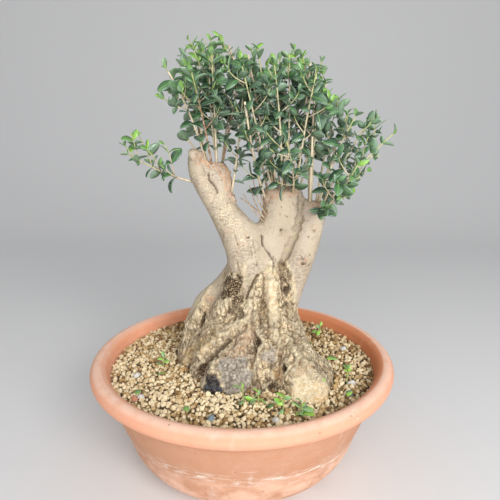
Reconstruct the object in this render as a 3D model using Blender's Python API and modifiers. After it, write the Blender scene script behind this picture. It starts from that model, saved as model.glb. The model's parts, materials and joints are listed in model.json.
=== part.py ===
"""Pre-bonsai tree: a thick collected trunk with cut stumps and young leafy shoots, in a round clay bowl.

Metres, +Z up. The origin is the centre of the bowl's underside, and the tree's front faces -Y.
Each physical piece is one object: the bowl, the soil, the trunk, every leafy shoot and the seedlings.
"""

import math
import random

import bmesh
import bpy
import numpy as np
from mathutils import Matrix, Vector, noise
from mathutils.bvhtree import BVHTree

MM = 0.001
TURN = 2 * math.pi
GOLDEN_ANGLE = math.radians(137.508)
UP = Vector((0, 0, 1))

# Driving dimensions
RIM_LEVEL = 0.130  # middle of the rolled rim above the table
RIM_RADIUS = 0.190  # outside of the rim
ROLL_WIDTH, ROLL_HEIGHT = 0.021, 0.019
BASE_RADIUS = 0.108
WALL = 0.009
FLOOR = 0.012
BOWL_STEPS = 32
SOIL_LEVEL = RIM_LEVEL - 0.010
SOIL_MOUND = 0.005
SOIL_RINGS = 9
CLEARANCE = 0.3 * MM
HOLE_GAPS = (0.6 * MM, 0.15 * MM)  # the second cut clears the creases where the first folds over
BARK_CELL = 4 * MM
TRUNK_TRIANGLES = 3200
LEAF_LENGTH, LEAF_WIDTH, LEAF_THICKNESS = 0.021, 0.0135, 0.0018
LEAF_SIDES = 5
LEAF_THICKEST = 0.33  # how far along the leaf it is thickest
LEAF_DROOP = 0.1
STEM_TAPER = 0.45
ROOT_SINK = 0.3 * MM  # how far a leaf's root lies beyond the middle of its stem
SEEDLING_STEM = 1.1 * MM
ROOT_SHARE = 0.12  # share of a leaf that may lie against the leaf opposite, in the stem
PAIR_SPACING = 0.030

# Bowl wall below the rim, outside: radius and height, top to bottom
BODY_PROFILE = (
    (0.1715, 0.114),
    (0.1600, 0.080),
    (0.1520, 0.060),
    (0.1435, 0.035),
    (0.1300, 0.016),
    (BASE_RADIUS, 0.0),
)

# Strands of wood that make up the trunk. Each point is x, y, height above the rim level and radius, in mm.
STRANDS = {
    "left_arm": (
        (-54, -4, 262, 10),
        (-50, -4, 240, 15),
        (-42, -4, 222, 16),
        (-30, -4, 202, 17),
        (-16, -5, 180, 20),
        (-1, -7, 158, 25),
        (10, -8, 134, 30),
        (12, -6, 104, 30),
    ),
    "callus": ((-36, -3, 246, 11), (-27, -4, 232, 14), (-23, -4, 214, 13), (-24, -4, 198, 12)),
    "centre_stump": (
        (49, 2, 219, 25),
        (48, 4, 190, 25),
        (43, 7, 160, 25),
        (37, 10, 128, 28),
        (28, 8, 92, 34),
    ),
    "right_stump": (
        (88, -4, 203, 14),
        (86, -5, 180, 16),
        (77, -8, 148, 17),
        (66, -12, 120, 18),
        (54, -13, 92, 20),
        (46, -12, 60, 20),
    ),
    "heart": (
        (24, 6, 112, 31),
        (17, 8, 80, 37),
        (10, 8, 46, 43),
        (8, 4, 12, 50),
        (8, 0, -20, 54),
        (8, 0, -52, 48),
    ),
    "left_root": (
        (2, 0, 112, 24),
        (-20, 2, 91, 19),
        (-40, 3, 70, 19),
        (-54, 4, 50, 17),
        (-62, 3, 30, 16),
        (-68, 0, 4, 16),
        (-70, -2, -18, 14),
        (-72, -2, -46, 11),
    ),
    "left_front_root": (
        (14, -28, 78, 15),
        (-18, -29, 52, 14),
        (-44, -22, 28, 13),
        (-63, -13, 6, 13),
        (-76, -9, -34, 10),
    ),
    "bark_flank": ((-6, -20, 112, 14), (-14, -26, 88, 13), (-28, -22, 62, 12), (-46, -10, 36, 12)),
    "arm_foot": ((14, -18, 112, 15), (10, -30, 84, 13), (0, -38, 56, 13), (-8, -48, 34, 14)),
    "pale_ridge": (
        (34, -17, 130, 11),
        (36, -28, 100, 11),
        (38, -36, 68, 11),
        (42, -50, 38, 12),
        (50, -70, 10, 13),
    ),
    "right_root": (
        (50, -12, 84, 16),
        (53, -26, 56, 17),
        (65, -38, 28, 20),
        (80, -50, 4, 23),
        (86, -56, -10, 24),
        (90, -56, -42, 19),
    ),
    "front_knuckle": ((60, -50, 32, 17), (70, -68, 10, 23), (76, -82, -8, 26), (78, -80, -42, 20)),
    "cut_root": ((12, -20, 44, 26), (2, -44, 26, 26), (-8, -66, 6, 24), (-12, -64, -38, 18)),
    "second_stub": ((22, -28, 56, 14), (29, -52, 35, 14), (33, -58, 8, 12)),
    "hollow_root": ((-18, -30, 42, 18), (-36, -38, 16, 18), (-46, -42, -6, 16), (-48, -42, -42, 12)),
    "front_apron": ((22, -34, 46, 22), (28, -50, 18, 25), (28, -58, -8, 25), (26, -56, -40, 22)),
    "charred_stub": ((-20, -44, 20, 15), (-32, -68, 3, 14), (-35, -76, -10, 12), (-37, -74, -42, 10)),
    "rear_left_root": (
        (-4, 18, 88, 23),
        (-20, 36, 52, 20),
        (-38, 52, 20, 17),
        (-53, 64, -12, 14),
        (-62, 70, -44, 11),
    ),
    "rear_right_root": (
        (34, 18, 88, 23),
        (44, 36, 52, 19),
        (56, 50, 20, 16),
        (65, 62, -12, 13),
        (70, 66, -44, 11),
    ),
    "rear_ridge": (
        (28, 20, 138, 17),
        (22, 32, 98, 19),
        (14, 46, 54, 19),
        (10, 58, 16, 18),
        (8, 64, -14, 15),
        (8, 66, -44, 12),
    ),
}
# The saw cuts that end the left arm and the front root: a point on the cut, the way it faces, its reach in mm
SAW_CUTS = (
    ((-34, -4, 251), (0.42, 0.0, 0.91), 34),
    ((-8, -80, 12), (-0.12, -0.84, 0.53), 30),
)
TRUNK_FOOT = -34  # sawn flat here, in mm from the rim level

# The stumps' shoots: root middle (x, y, height) and half widths, tip middle (x, y) and half widths, in mm,
# and how many shoots
STUMPS = {
    "arm": ((-34, -3, 254), (20, 14), (-45, -6), (60, 74), 10),
    "centre": ((49, 3, 222), (24, 23), (38, 0), (64, 84), 14),
    "right": ((89, -4, 206), (12, 13), (112, -4), (46, 66), 7),
}
# The crown that the shoots reach: its top from the front as x and height, its base and half depth, in mm
CROWN_TOP = (
    (-110, 300),
    (-96, 330),
    (-80, 370),
    (-40, 386),
    (30, 380),
    (89, 370),
    (107, 350),
    (124, 318),
    (190, 284),
)
CROWN_BASE, CROWN_DEPTH = 225, 118

# Shoots that stand apart from the crown: start, elbow and tip, in mm, heights from the rim level
LONE_SHOOTS = (
    ((-58, -6, 227), (-92, -16, 234), (-130, -22, 258)),
    ((-30, -6, 250), (-40, -14, 320), (-34, -10, 382)),
    ((96, -8, 196), (122, -26, 238), (168, -34, 280)),
    ((98, 2, 194), (128, 16, 218), (164, 30, 256)),
    ((-11, -8, 216), (-2, -18, 270), (4, -22, 350)),
    ((27, -10, 206), (14, -30, 240), (4, -58, 312)),
    ((60, -18, 214), (60, -54, 234), (46, -88, 272)),
    ((92, -16, 190), (106, -50, 208), (120, -80, 248)),
)

# Seedlings on the soil: x, y in mm, leaf pairs
SEEDLINGS = (
    (2, -108, 3),
    (20, -112, 2),
    (44, -124, 3),
    (64, -128, 2),
    (124, -62, 2),
    (-100, -24, 2),
    (112, 84, 2),
)

COLOURS = {
    "terracotta": (0.62, 0.30, 0.19, 1.0),
    "pumice": (0.52, 0.42, 0.27, 1.0),
    "bark": (0.60, 0.50, 0.36, 1.0),
    "leaf": (0.05, 0.17, 0.08, 1.0),
    "young_leaf": (0.16, 0.42, 0.07, 1.0),
}
ROUGHNESS = {"terracotta": 0.85, "pumice": 0.95, "bark": 0.8, "leaf": 0.4, "young_leaf": 0.5}


def clear_scene():
    for obj in list(bpy.data.objects):
        bpy.data.objects.remove(obj, do_unlink=True)


def material(name):
    """The plain finish of one kind of piece."""
    made = bpy.data.materials.get(name)
    if made is None:
        made = bpy.data.materials.new(name)
        made.use_nodes = True
        shader = made.node_tree.nodes["Principled BSDF"]
        shader.inputs["Base Color"].default_value = COLOURS[name]
        shader.inputs["Roughness"].default_value = ROUGHNESS[name]
        shader.inputs["Metallic"].default_value = 0.0
    return made


def add_object(name, data, collection):
    obj = bpy.data.objects.new(name, data)
    collection.objects.link(obj)
    return obj


def finish_piece(obj, finish, sharp_angle=math.radians(40)):
    obj.data.materials.clear()
    obj.data.materials.append(material(finish))
    obj.data.shade_smooth()
    obj.data.set_sharp_from_angle(angle=sharp_angle)


def evaluated_mesh(obj):
    """A copy of the object's mesh with its modifiers applied."""
    graph = bpy.context.evaluated_depsgraph_get()
    return bpy.data.meshes.new_from_object(obj.evaluated_get(graph))


def apply_modifiers(obj):
    made = evaluated_mesh(obj)
    obj.modifiers.clear()
    old, obj.data = obj.data, made
    bpy.data.meshes.remove(old)


def triangle_count(obj):
    return sum(len(polygon.vertices) - 2 for polygon in obj.data.polygons)


def thin_out(obj, ratio):
    """Collapses the smallest edges of an object until this share of its triangles is left."""
    thin = obj.modifiers.new("thin", "DECIMATE")
    thin.ratio = ratio
    apply_modifiers(obj)


def boolean(obj, other, operation):
    """Cuts or joins another object or a whole collection, applied at once."""
    step = obj.modifiers.new(operation.lower(), "BOOLEAN")
    step.operation = operation
    step.solver = "MANIFOLD"
    if isinstance(other, bpy.types.Collection):
        step.operand_type = "COLLECTION"
        step.collection = other
    else:
        step.object = other
    apply_modifiers(obj)


def keep_largest_body(mesh):
    """Drops the loose scraps that a cut leaves."""
    bm = bmesh.new()
    bm.from_mesh(mesh)
    unseen, bodies = set(bm.verts), []
    while unseen:
        body, edge_of_body = set(), [next(iter(unseen))]
        while edge_of_body:
            vert = edge_of_body.pop()
            if vert in body:
                continue
            body.add(vert)
            edge_of_body += [e.other_vert(vert) for e in vert.link_edges]
        unseen -= body
        bodies.append(body)
    largest = max(bodies, key=len)
    bmesh.ops.delete(bm, geom=[v for v in bm.verts if v not in largest], context="VERTS")
    bm.to_mesh(mesh)
    bm.free()


def smooth_route(points, steps=4):
    """Catmull-Rom points through a short list of points; extra numbers, such as a radius, follow along."""
    ends = [points[0], *points, points[-1]]
    route = []
    for a, b, c, d in zip(ends, ends[1:], ends[2:], ends[3:]):
        for step in range(steps):
            t = step / steps
            route.append(
                tuple(
                    q + 0.5 * (r - p) * t + (p - 2.5 * q + 2 * r - 0.5 * s) * t**2 + (1.5 * (q - r) + 0.5 * (s - p)) * t**3
                    for p, q, r, s in zip(a, b, c, d)
                )
            )
    route.append(tuple(points[-1]))
    return route


def tube_mesh(name, route, resolution):
    """A closed tube along a route of x, y, z and radius."""
    curve = bpy.data.curves.new(name, "CURVE")
    curve.dimensions = "3D"
    curve.bevel_depth = 1.0
    curve.bevel_resolution = resolution
    curve.use_fill_caps = True
    spline = curve.splines.new("POLY")
    spline.points.add(len(route) - 1)
    for point, (x, y, z, radius) in zip(spline.points, route):
        point.co = (x, y, z, 1)
        point.radius = radius
    obj = add_object(name, curve, bpy.context.scene.collection)
    bpy.context.view_layer.update()
    mesh = evaluated_mesh(obj)
    bpy.data.objects.remove(obj)
    bpy.data.curves.remove(curve)
    bm = bmesh.new()
    bm.from_mesh(mesh)
    bmesh.ops.remove_doubles(bm, verts=bm.verts, dist=0.01 * MM)
    bm.to_mesh(mesh)
    bm.free()
    return mesh


def turned_object(name, profile, collection):
    """A solid turned about the Z axis from a profile of radius and height that starts and ends on the axis."""
    mesh = bpy.data.meshes.new(name)
    bm = bmesh.new()
    verts = [bm.verts.new((radius, 0, height)) for radius, height in profile]
    for start, end in zip(verts, verts[1:]):
        bm.edges.new((start, end))
    bm.to_mesh(mesh)
    bm.free()
    obj = add_object(name, mesh, collection)
    screw = obj.modifiers.new("turn", "SCREW")
    screw.steps = BOWL_STEPS
    screw.render_steps = BOWL_STEPS
    screw.use_merge_vertices = True
    screw.merge_threshold = 0.05 * MM
    apply_modifiers(obj)
    return obj


def inner_wall(gap=0.0):
    """The bowl's inside below the rim, bottom to top, drawn in by a gap."""
    wall = [(radius - WALL - gap, height) for radius, height in BODY_PROFILE[:-2]]
    corner = (BODY_PROFILE[-2][0] - WALL - gap, BODY_PROFILE[-2][1] + 0.006 + gap)
    floor_edge = (BASE_RADIUS - gap, FLOOR + gap)
    return [floor_edge, corner, *reversed(wall)]


def build_bowl(collection):
    """Clay bowl with a rolled rim, a plain flat base and three drain holes."""
    middle = RIM_RADIUS - ROLL_WIDTH / 2
    roll = []
    for degrees in (180, 142, 104, 66, 28, -10, -48, -86):
        angle = math.radians(degrees)
        radius = middle + ROLL_WIDTH / 2 * math.cos(angle)
        roll.append((radius, RIM_LEVEL + ROLL_HEIGHT / 2 * math.sin(angle)))
    profile = [(0, FLOOR), *inner_wall(), *roll, *BODY_PROFILE, (0, 0)]
    bowl = turned_object("bowl", profile, collection)
    for number in range(3):
        bpy.ops.mesh.primitive_cylinder_add(vertices=16, radius=0.008, depth=FLOOR * 4)
        drill = bpy.context.object
        angle = TURN * (number + 0.25) / 3
        drill.location = (0.055 * math.cos(angle), 0.055 * math.sin(angle), FLOOR / 2)
        bpy.context.view_layer.update()
        boolean(bowl, drill, "DIFFERENCE")
        bpy.data.objects.remove(drill)
    finish_piece(bowl, "terracotta")
    return bowl


def bark_relief(place):
    """How far the bark stands out at a place: folds that run with the trunk, stronger towards the roots."""
    height = (place.z - RIM_LEVEL) / MM
    rough = min(1.0, max(0.0, (125 - height) / 90))
    folds = noise.fractal(Vector((place.x * 34, place.y * 34, place.z * 11)), 0.9, 2.1, 2)
    furrows = 0.35 - abs(noise.noise(Vector((place.x * 52, place.y * 52, place.z * 16 + 5.0))))
    knots = noise.noise(place * 46 + Vector((3.1, 7.7, 1.3)))
    return MM * ((0.5 + 2.6 * rough) * folds + 8.0 * rough * furrows + 2.4 * rough * knots)


def build_trunk(collection):
    """One piece of wood: strands fused by a voxel remesh, smoothed, given its bark's relief and sawn flat."""
    joined = bmesh.new()
    for name, points in STRANDS.items():
        route = [(x * MM, y * MM, RIM_LEVEL + z * MM, r * MM) for x, y, z, r in smooth_route(points)]
        mesh = tube_mesh(name, route, 4)
        joined.from_mesh(mesh)
        bpy.data.meshes.remove(mesh)
    bmesh.ops.triangulate(joined, faces=joined.faces)
    mesh = bpy.data.meshes.new("trunk")
    joined.to_mesh(mesh)
    joined.free()
    trunk = add_object("trunk", mesh, collection)
    fuse = trunk.modifiers.new("fuse", "REMESH")
    fuse.mode = "VOXEL"
    fuse.voxel_size = BARK_CELL
    even = trunk.modifiers.new("even", "SMOOTH")
    even.factor = 0.5
    even.iterations = 2
    apply_modifiers(trunk)
    trunk.data.update()
    for vert, normal in [(v, v.normal.copy()) for v in trunk.data.vertices]:
        vert.co += normal * bark_relief(vert.co)
    saw_trunk(trunk.data)
    thin_out(trunk, TRUNK_TRIANGLES / triangle_count(trunk))
    keep_largest_body(trunk.data)
    finish_piece(trunk, "bark", math.radians(60))
    return trunk


def saw_trunk(mesh):
    """The flat foot, and the saw cuts that end the left arm and the front root."""
    bm = bmesh.new()
    bm.from_mesh(mesh)
    foot = Vector((0, 0, RIM_LEVEL + TRUNK_FOOT * MM))
    saw = bmesh.ops.bisect_plane(
        bm, geom=[*bm.verts, *bm.edges, *bm.faces], plane_co=foot, plane_no=-UP, clear_outer=True
    )
    rim = [e for e in saw["geom_cut"] if isinstance(e, bmesh.types.BMEdge)]
    bmesh.ops.holes_fill(bm, edges=rim)
    bmesh.ops.triangulate(bm, faces=bm.faces)
    for (x, y, z), facing, reach in SAW_CUTS:
        point, facing = Vector((x * MM, y * MM, RIM_LEVEL + z * MM)), Vector(facing).normalized()
        for vert in bm.verts:
            over = (vert.co - point).dot(facing)
            if over > 0 and (vert.co - point).length < reach * MM:
                vert.co -= facing * over * 0.85
    bm.normal_update()
    bm.to_mesh(mesh)
    bm.free()


def grown_copy(obj, gap, name):
    """The object's mesh pushed outwards by a gap, as a cutter."""
    mesh = obj.data.copy()
    for vert, normal in [(v, v.normal.copy()) for v in mesh.vertices]:
        vert.co += normal * gap
    return add_object(name, mesh, bpy.context.scene.collection)


def soil_height(x, y):
    """The gritty top of the soil: a low mound towards the trunk, with coarse grains as relief."""
    reach = math.hypot(x, y) / RIM_RADIUS
    grains = noise.noise(Vector((x * 130, y * 130, 0.5)))
    swells = noise.noise(Vector((x * 22, y * 22, 4.0)))
    return SOIL_LEVEL + SOIL_MOUND * (1 - reach**2) + 1.6 * MM * grains + 1.5 * MM * swells


def build_soil(collection, trunk):
    """Grit that fills the bowl, with a hole that the trunk stands in."""
    gap = 0.5 * MM
    wall = [point for point in inner_wall(gap) if point[1] < SOIL_LEVEL - 0.012]
    edge = wall_radius_at(SOIL_LEVEL, gap)
    top = [(edge * (1 - ring / SOIL_RINGS), SOIL_LEVEL) for ring in range(SOIL_RINGS)]
    profile = [(0, SOIL_LEVEL), *reversed(top), *reversed(wall), (0, FLOOR + CLEARANCE)]
    soil = turned_object("soil", profile, collection)
    for vert in soil.data.vertices:
        if vert.co.z > SOIL_LEVEL - MM:
            vert.co.z = soil_height(vert.co.x, vert.co.y)
    for gap_to_trunk in HOLE_GAPS:
        cutter = grown_copy(trunk, gap_to_trunk, "hole_cutter")
        boolean(soil, cutter, "DIFFERENCE")
        bpy.data.objects.remove(cutter)
    keep_largest_body(soil.data)
    finish_piece(soil, "pumice")
    return soil


def wall_radius_at(height, gap):
    """The bowl's inner radius at a height, less a gap, read between the profile's points."""
    wall = [*inner_wall(gap), (RIM_RADIUS - ROLL_WIDTH - gap, RIM_LEVEL)]
    for (r0, z0), (r1, z1) in zip(wall, wall[1:]):
        if z0 <= height <= z1:
            return r0 + (r1 - r0) * (height - z0) / (z1 - z0)
    raise ValueError("the soil is outside the bowl")


def leaf_mesh(length, width, thickness):
    """One oval leaf from a low cone: root at the origin, tip along +X, arched, and thickest on its rib."""
    bm = bmesh.new()
    bmesh.ops.create_cone(bm, cap_ends=True, segments=LEAF_SIDES, radius1=1.0, radius2=0.0, depth=1.0)
    bmesh.ops.remove_doubles(bm, verts=bm.verts, dist=0.0001)
    for vert in bm.verts:
        on_rim = vert.co.z < 0
        x, y = -vert.co.y, vert.co.x
        along = 0.5 * (1 + x) if on_rim else LEAF_THICKEST
        narrow = 0.72 if along < 0.3 else 1.0
        arch = LEAF_DROOP * length * (along - along**2 * 1.6)
        vert.co = (along * length, 0.5 * width * narrow * y, arch if on_rim else arch + thickness)
    bmesh.ops.triangulate(bm, faces=bm.faces)
    mesh = bpy.data.meshes.new("leaf")
    bm.to_mesh(mesh)
    bm.free()
    return mesh


def leaf_matrix(root, axis, upper):
    """Places a leaf with its base at root, its rib along axis and its upper face towards upper."""
    side = upper.cross(axis).normalized()
    face = axis.cross(side)
    return Matrix.Translation(root) @ Matrix((axis, side, face)).transposed().to_4x4()


class Space:
    """The space that is already taken, so that a new leaf can be kept clear of it."""

    def __init__(self):
        self.points, self.faces = [], []

    def add(self, mesh, matrix=None):
        first = len(self.points)
        place = matrix or Matrix.Identity(4)
        self.points += [place @ v.co for v in mesh.vertices]
        self.faces += [[first + i for i in p.vertices] for p in mesh.polygons]

    def tree(self):
        return BVHTree.FromPolygons(self.points, self.faces) if self.faces else None


def touches(mesh, matrix, tree):
    if tree is None:
        return False
    points = [matrix @ v.co for v in mesh.vertices]
    return bool(tree.overlap(BVHTree.FromPolygons(points, [list(p.vertices) for p in mesh.polygons])))


def shoot_route(start, elbow, tip, thick, steps=4):
    """A stem as points with a radius: a quadratic bend from its root to its tip, tapering."""
    route = []
    for step in range(steps + 1):
        t = step / steps
        place = start * (1 - t) ** 2 + elbow * 2 * t * (1 - t) + tip * t**2
        route.append((*place, thick * (1 - STEM_TAPER * t)))
    return route


def crown_height(x, y):
    """The crown's top above the rim level, in mm: as from the front, and lower towards the front and the back."""
    top = float(np.interp(x, *zip(*CROWN_TOP)))
    return CROWN_BASE + (top - CROWN_BASE) * max(0.04, 1 - abs(y / CROWN_DEPTH) ** 2.5) ** 0.4


def crown_routes(trunk_tree):
    """Every crown shoot's root on the stumps and its tip on the crown, spread without crossing."""
    draw = random.Random(11)
    routes = []
    for root_middle, root_half, tip_middle, tip_half, count in STUMPS.values():
        for number in range(count):
            turn = GOLDEN_ANGLE * number + 0.4
            reach = math.sqrt((number + 0.5) / count)
            across, along = reach * math.cos(turn), reach * math.sin(turn)
            x, y = root_middle[0] + root_half[0] * across, root_middle[1] + root_half[1] * along
            root = trunk_tree.find_nearest(Vector((x * MM, y * MM, RIM_LEVEL + root_middle[2] * MM)))[0]
            x, y = tip_middle[0] + tip_half[0] * across, tip_middle[1] + tip_half[1] * along
            tip = Vector((x * MM, y * MM, RIM_LEVEL + crown_height(x, y) * draw.uniform(0.93, 1.02) * MM))
            elbow = root.lerp(tip, 0.5) + Vector((draw.uniform(-4, 4), draw.uniform(-4, 4), 12)) * MM
            routes.append((root, elbow, tip))
    return routes


def lone_routes(trunk_tree):
    """The hand-placed shoots, each from the trunk's surface nearest its start."""
    routes = []
    for points in LONE_SHOOTS:
        start, elbow, tip = (Vector((x * MM, y * MM, RIM_LEVEL + z * MM)) for x, y, z in points)
        routes.append((trunk_tree.find_nearest(start)[0], elbow, tip))
    return routes


def leaf_places(route, draw, first, spacing, turn):
    """Root, axis and upper side of each leaf on a stem: crossed pairs up the stem and one leaf at its tip."""
    points = [Vector(p[:3]) for p in route]
    lengths = [(b - a).length for a, b in zip(points, points[1:])]
    total = sum(lengths)
    places = []
    pairs = max(1, round((1 - first) * total / spacing))
    for pair in range(pairs + 1):
        far = total * (first + (1 - first) * pair / pairs) - 1.5 * MM
        index = 0
        while index < len(lengths) - 1 and far > lengths[index]:
            far -= lengths[index]
            index += 1
        far = min(far, lengths[index])
        stem = (points[index + 1] - points[index]).normalized()
        root = points[index] + stem * far
        across = stem.orthogonal().normalized()
        for side in (0, math.pi):
            angle = turn + pair * math.pi / 2 + side + draw.uniform(-0.3, 0.3)
            out = Matrix.Rotation(angle, 3, stem) @ across
            places.append((root, out, stem, draw.uniform(0.85, 1.1)))
    return places


def build_leafy_stem(name, route, places, collection, taken, finish, leaf_size=1.0):
    """A stem with its leaves fused to it. A leaf that would touch another piece is turned or left out."""
    stem = add_object(name, tube_mesh(name, route, 0), collection)
    own, others = Space(), taken.tree()
    blades = bpy.data.collections.new(name + "_leaves")
    bpy.context.scene.collection.children.link(blades)
    for root, out, up, size in places:
        length, width = LEAF_LENGTH * size * leaf_size, LEAF_WIDTH * size * leaf_size
        for lean, twist in ((1.0, 0.0), (0.7, 0.4), (0.7, -0.4), (1.25, 0.7), (0.45, 0.0), (1.3, -0.8)):
            axis = (Matrix.Rotation(twist, 3, up) @ out) * math.sin(lean) + up * math.cos(lean)
            place = leaf_matrix(root - axis * ROOT_SINK, axis, up)
            room = leaf_mesh(length * 1.06, width * 1.12, LEAF_THICKNESS * 1.7)
            past_root = place @ Matrix.Translation((ROOT_SHARE * length, 0, 0))
            blocked = touches(room, place, others) or touches(room, past_root, own.tree())
            bpy.data.meshes.remove(room)
            if blocked:
                continue
            blade = leaf_mesh(length, width, LEAF_THICKNESS)
            blade.transform(place)
            own.add(blade)
            add_object(name + "_leaf", blade, blades)
            break
    boolean(stem, blades, "UNION")
    for blade in list(blades.objects):
        bpy.data.objects.remove(blade)
    bpy.data.collections.remove(blades)
    finish_piece(stem, finish)
    return stem


def build_shoots(collection, trunk):
    """The young shoots on the stumps. Each is cut where the trunk's surface is, a hair clear of it."""
    draw = random.Random(5)
    corners = [vertex.co for vertex in trunk.data.vertices]
    trunk_tree = BVHTree.FromPolygons(corners, [list(face.vertices) for face in trunk.data.polygons])
    cutter = grown_copy(trunk, CLEARANCE, "shoot_seats")
    routes = []
    for start, elbow, tip in crown_routes(trunk_tree) + lone_routes(trunk_tree):
        sink = (elbow - start).normalized() * 5 * MM
        thick = 1.3 * MM + 0.004 * (tip - start).length
        routes.append(shoot_route(start - sink, elbow, tip, thick))
    stems = [tube_mesh("stem", route, 0) for route in routes]
    shoots = []
    for number, route in enumerate(routes):
        taken = Space()
        taken.add(cutter.data)
        for other, stem in enumerate(stems):
            if other != number:
                taken.add(stem)
        for shoot in shoots:
            taken.add(shoot.data)
        places = leaf_places(route, draw, 0.2, PAIR_SPACING, draw.uniform(0, math.pi))
        shoot = build_leafy_stem(f"shoot_{number + 1:02d}", route, places, collection, taken, "leaf")
        boolean(shoot, cutter, "DIFFERENCE")
        keep_largest_body(shoot.data)
        finish_piece(shoot, "leaf")
        shoots.append(shoot)
    for stem in stems:
        bpy.data.meshes.remove(stem)
    bpy.data.objects.remove(cutter)
    return shoots


def ground_under(soil_tree, x, y):
    """The highest soil under a seedling's stem."""
    reach = SEEDLING_STEM
    spots = ((x, y), (x - reach, y), (x + reach, y), (x, y - reach), (x, y + reach))
    return max(soil_tree.ray_cast(Vector((*spot, RIM_LEVEL)), -UP)[0].z for spot in spots)


def build_seedlings(collection, soil, neighbours):
    """Small seedlings that stand on the grit, each a short stem with crossed pairs of leaves."""
    draw = random.Random(3)
    taken = Space()
    taken.add(soil.data)
    soil_tree = taken.tree()
    for neighbour in neighbours:
        taken.add(neighbour.data)
    for number, (x, y, pairs) in enumerate(SEEDLINGS):
        foot = Vector((x * MM, y * MM, ground_under(soil_tree, x * MM, y * MM) + 2 * CLEARANCE))
        tip = foot + Vector((draw.uniform(-3, 3), draw.uniform(-3, 3), 6 + 4 * pairs)) * MM
        route = shoot_route(foot, foot.lerp(tip, 0.5), tip, SEEDLING_STEM, 2)
        spacing = (tip - foot).length * 0.65 / (pairs - 1)
        places = leaf_places(route, draw, 0.35, spacing, draw.uniform(0, math.pi))
        name = f"seedling_{number + 1}"
        sprout = build_leafy_stem(name, route, places, collection, taken, "young_leaf", 0.62)
        taken.add(sprout.data)


def main():
    clear_scene()
    collection = bpy.data.collections.new("pre_bonsai_tree")
    bpy.context.scene.collection.children.link(collection)
    bowl = build_bowl(collection)
    trunk = build_trunk(collection)
    soil = build_soil(collection, trunk)
    build_shoots(collection, trunk)
    build_seedlings(collection, soil, [bowl, trunk])


main()
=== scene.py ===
"""Pre-bonsai tree in a terracotta bowl: its looks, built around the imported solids.

Laid out as a Blender add-on with one operator for each piece or group of like pieces, and run as a script.
"""

import json
import math
import random

import bmesh
import bpy
import numpy as np
from bpy.props import FloatProperty, FloatVectorProperty, IntProperty, PointerProperty
from mathutils import Matrix, Vector, noise
from mathutils.bvhtree import BVHTree

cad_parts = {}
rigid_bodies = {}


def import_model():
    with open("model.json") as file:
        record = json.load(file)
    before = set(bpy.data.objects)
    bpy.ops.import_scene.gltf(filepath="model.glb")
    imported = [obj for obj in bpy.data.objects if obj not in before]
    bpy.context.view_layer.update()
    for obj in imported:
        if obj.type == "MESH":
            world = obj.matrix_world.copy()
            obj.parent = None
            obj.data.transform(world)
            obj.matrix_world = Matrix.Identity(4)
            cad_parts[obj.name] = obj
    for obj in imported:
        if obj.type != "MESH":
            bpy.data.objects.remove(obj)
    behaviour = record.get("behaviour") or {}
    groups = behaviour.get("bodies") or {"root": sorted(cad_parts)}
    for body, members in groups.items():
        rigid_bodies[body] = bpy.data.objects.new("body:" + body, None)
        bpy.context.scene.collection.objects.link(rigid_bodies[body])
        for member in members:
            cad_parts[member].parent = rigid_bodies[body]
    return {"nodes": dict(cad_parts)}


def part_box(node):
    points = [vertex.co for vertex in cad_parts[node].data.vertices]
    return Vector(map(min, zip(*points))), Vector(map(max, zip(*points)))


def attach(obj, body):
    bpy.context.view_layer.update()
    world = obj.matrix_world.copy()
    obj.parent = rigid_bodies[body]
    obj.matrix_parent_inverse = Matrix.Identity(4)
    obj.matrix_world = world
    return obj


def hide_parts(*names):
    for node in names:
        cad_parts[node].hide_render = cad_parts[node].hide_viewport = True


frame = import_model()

bl_info = {
    "name": "Pre-bonsai tree",
    "version": (1, 0, 0),
    "blender": (4, 5, 0),
    "location": "3D View > Sidebar > Pre-bonsai",
    "description": "Bark, leafy shoots, grit and fired clay of a pre-bonsai tree in its bowl",
    "category": "Add Mesh",
}

MM = 0.001
TURN = 2 * math.pi
GOLDEN_ANGLE = math.radians(137.508)
UP = Vector((0, 0, 1))
BODY = "root"
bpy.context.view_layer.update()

# The bowl, as in the solids, in metres
RIM_LEVEL = 0.130
RIM_RADIUS = 0.190
ROLL_WIDTH, ROLL_HEIGHT = 0.021, 0.019
BASE_RADIUS = 0.108
WALL = 0.009
FLOOR = 0.012
WALL_PROFILE = ((0.1715, 0.114), (0.1600, 0.080), (0.1520, 0.060), (0.1435, 0.035), (0.1300, 0.016), (BASE_RADIUS, 0.0))
DRAIN_RADIUS, DRAIN_REACH = 0.008, 0.055

# The stumps' shoots: root middle (x, y, height) and half widths, tip middle (x, y) and half widths in mm, and how many
STUMPS = {
    "arm": ((-34, -3, 254), (20, 14), (-45, -6), (60, 74), 10),
    "centre": ((49, 3, 222), (24, 23), (38, 0), (64, 84), 14),
    "right": ((89, -4, 206), (12, 13), (112, -4), (46, 66), 7),
}
# The crown that the shoots' tips reach: its top from the front as x and height, its base and half depth, in mm
CROWN_TOP = (
    (-110, 300),
    (-96, 330),
    (-80, 370),
    (-40, 386),
    (30, 380),
    (89, 370),
    (107, 350),
    (124, 318),
    (190, 284),
)
CROWN_BASE, CROWN_DEPTH = 225, 118
LONE_SHOOTS = (
    ((-58, -6, 227), (-92, -16, 234), (-130, -22, 258)),
    ((-30, -6, 250), (-40, -14, 320), (-34, -10, 382)),
    ((96, -8, 196), (122, -26, 238), (168, -34, 280)),
    ((98, 2, 194), (128, 16, 218), (164, 30, 256)),
    ((-11, -8, 216), (-2, -18, 270), (4, -22, 350)),
    ((27, -10, 206), (14, -30, 240), (4, -58, 312)),
    ((60, -18, 214), (60, -54, 234), (46, -88, 272)),
    ((92, -16, 190), (106, -50, 208), (120, -80, 248)),
)
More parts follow.
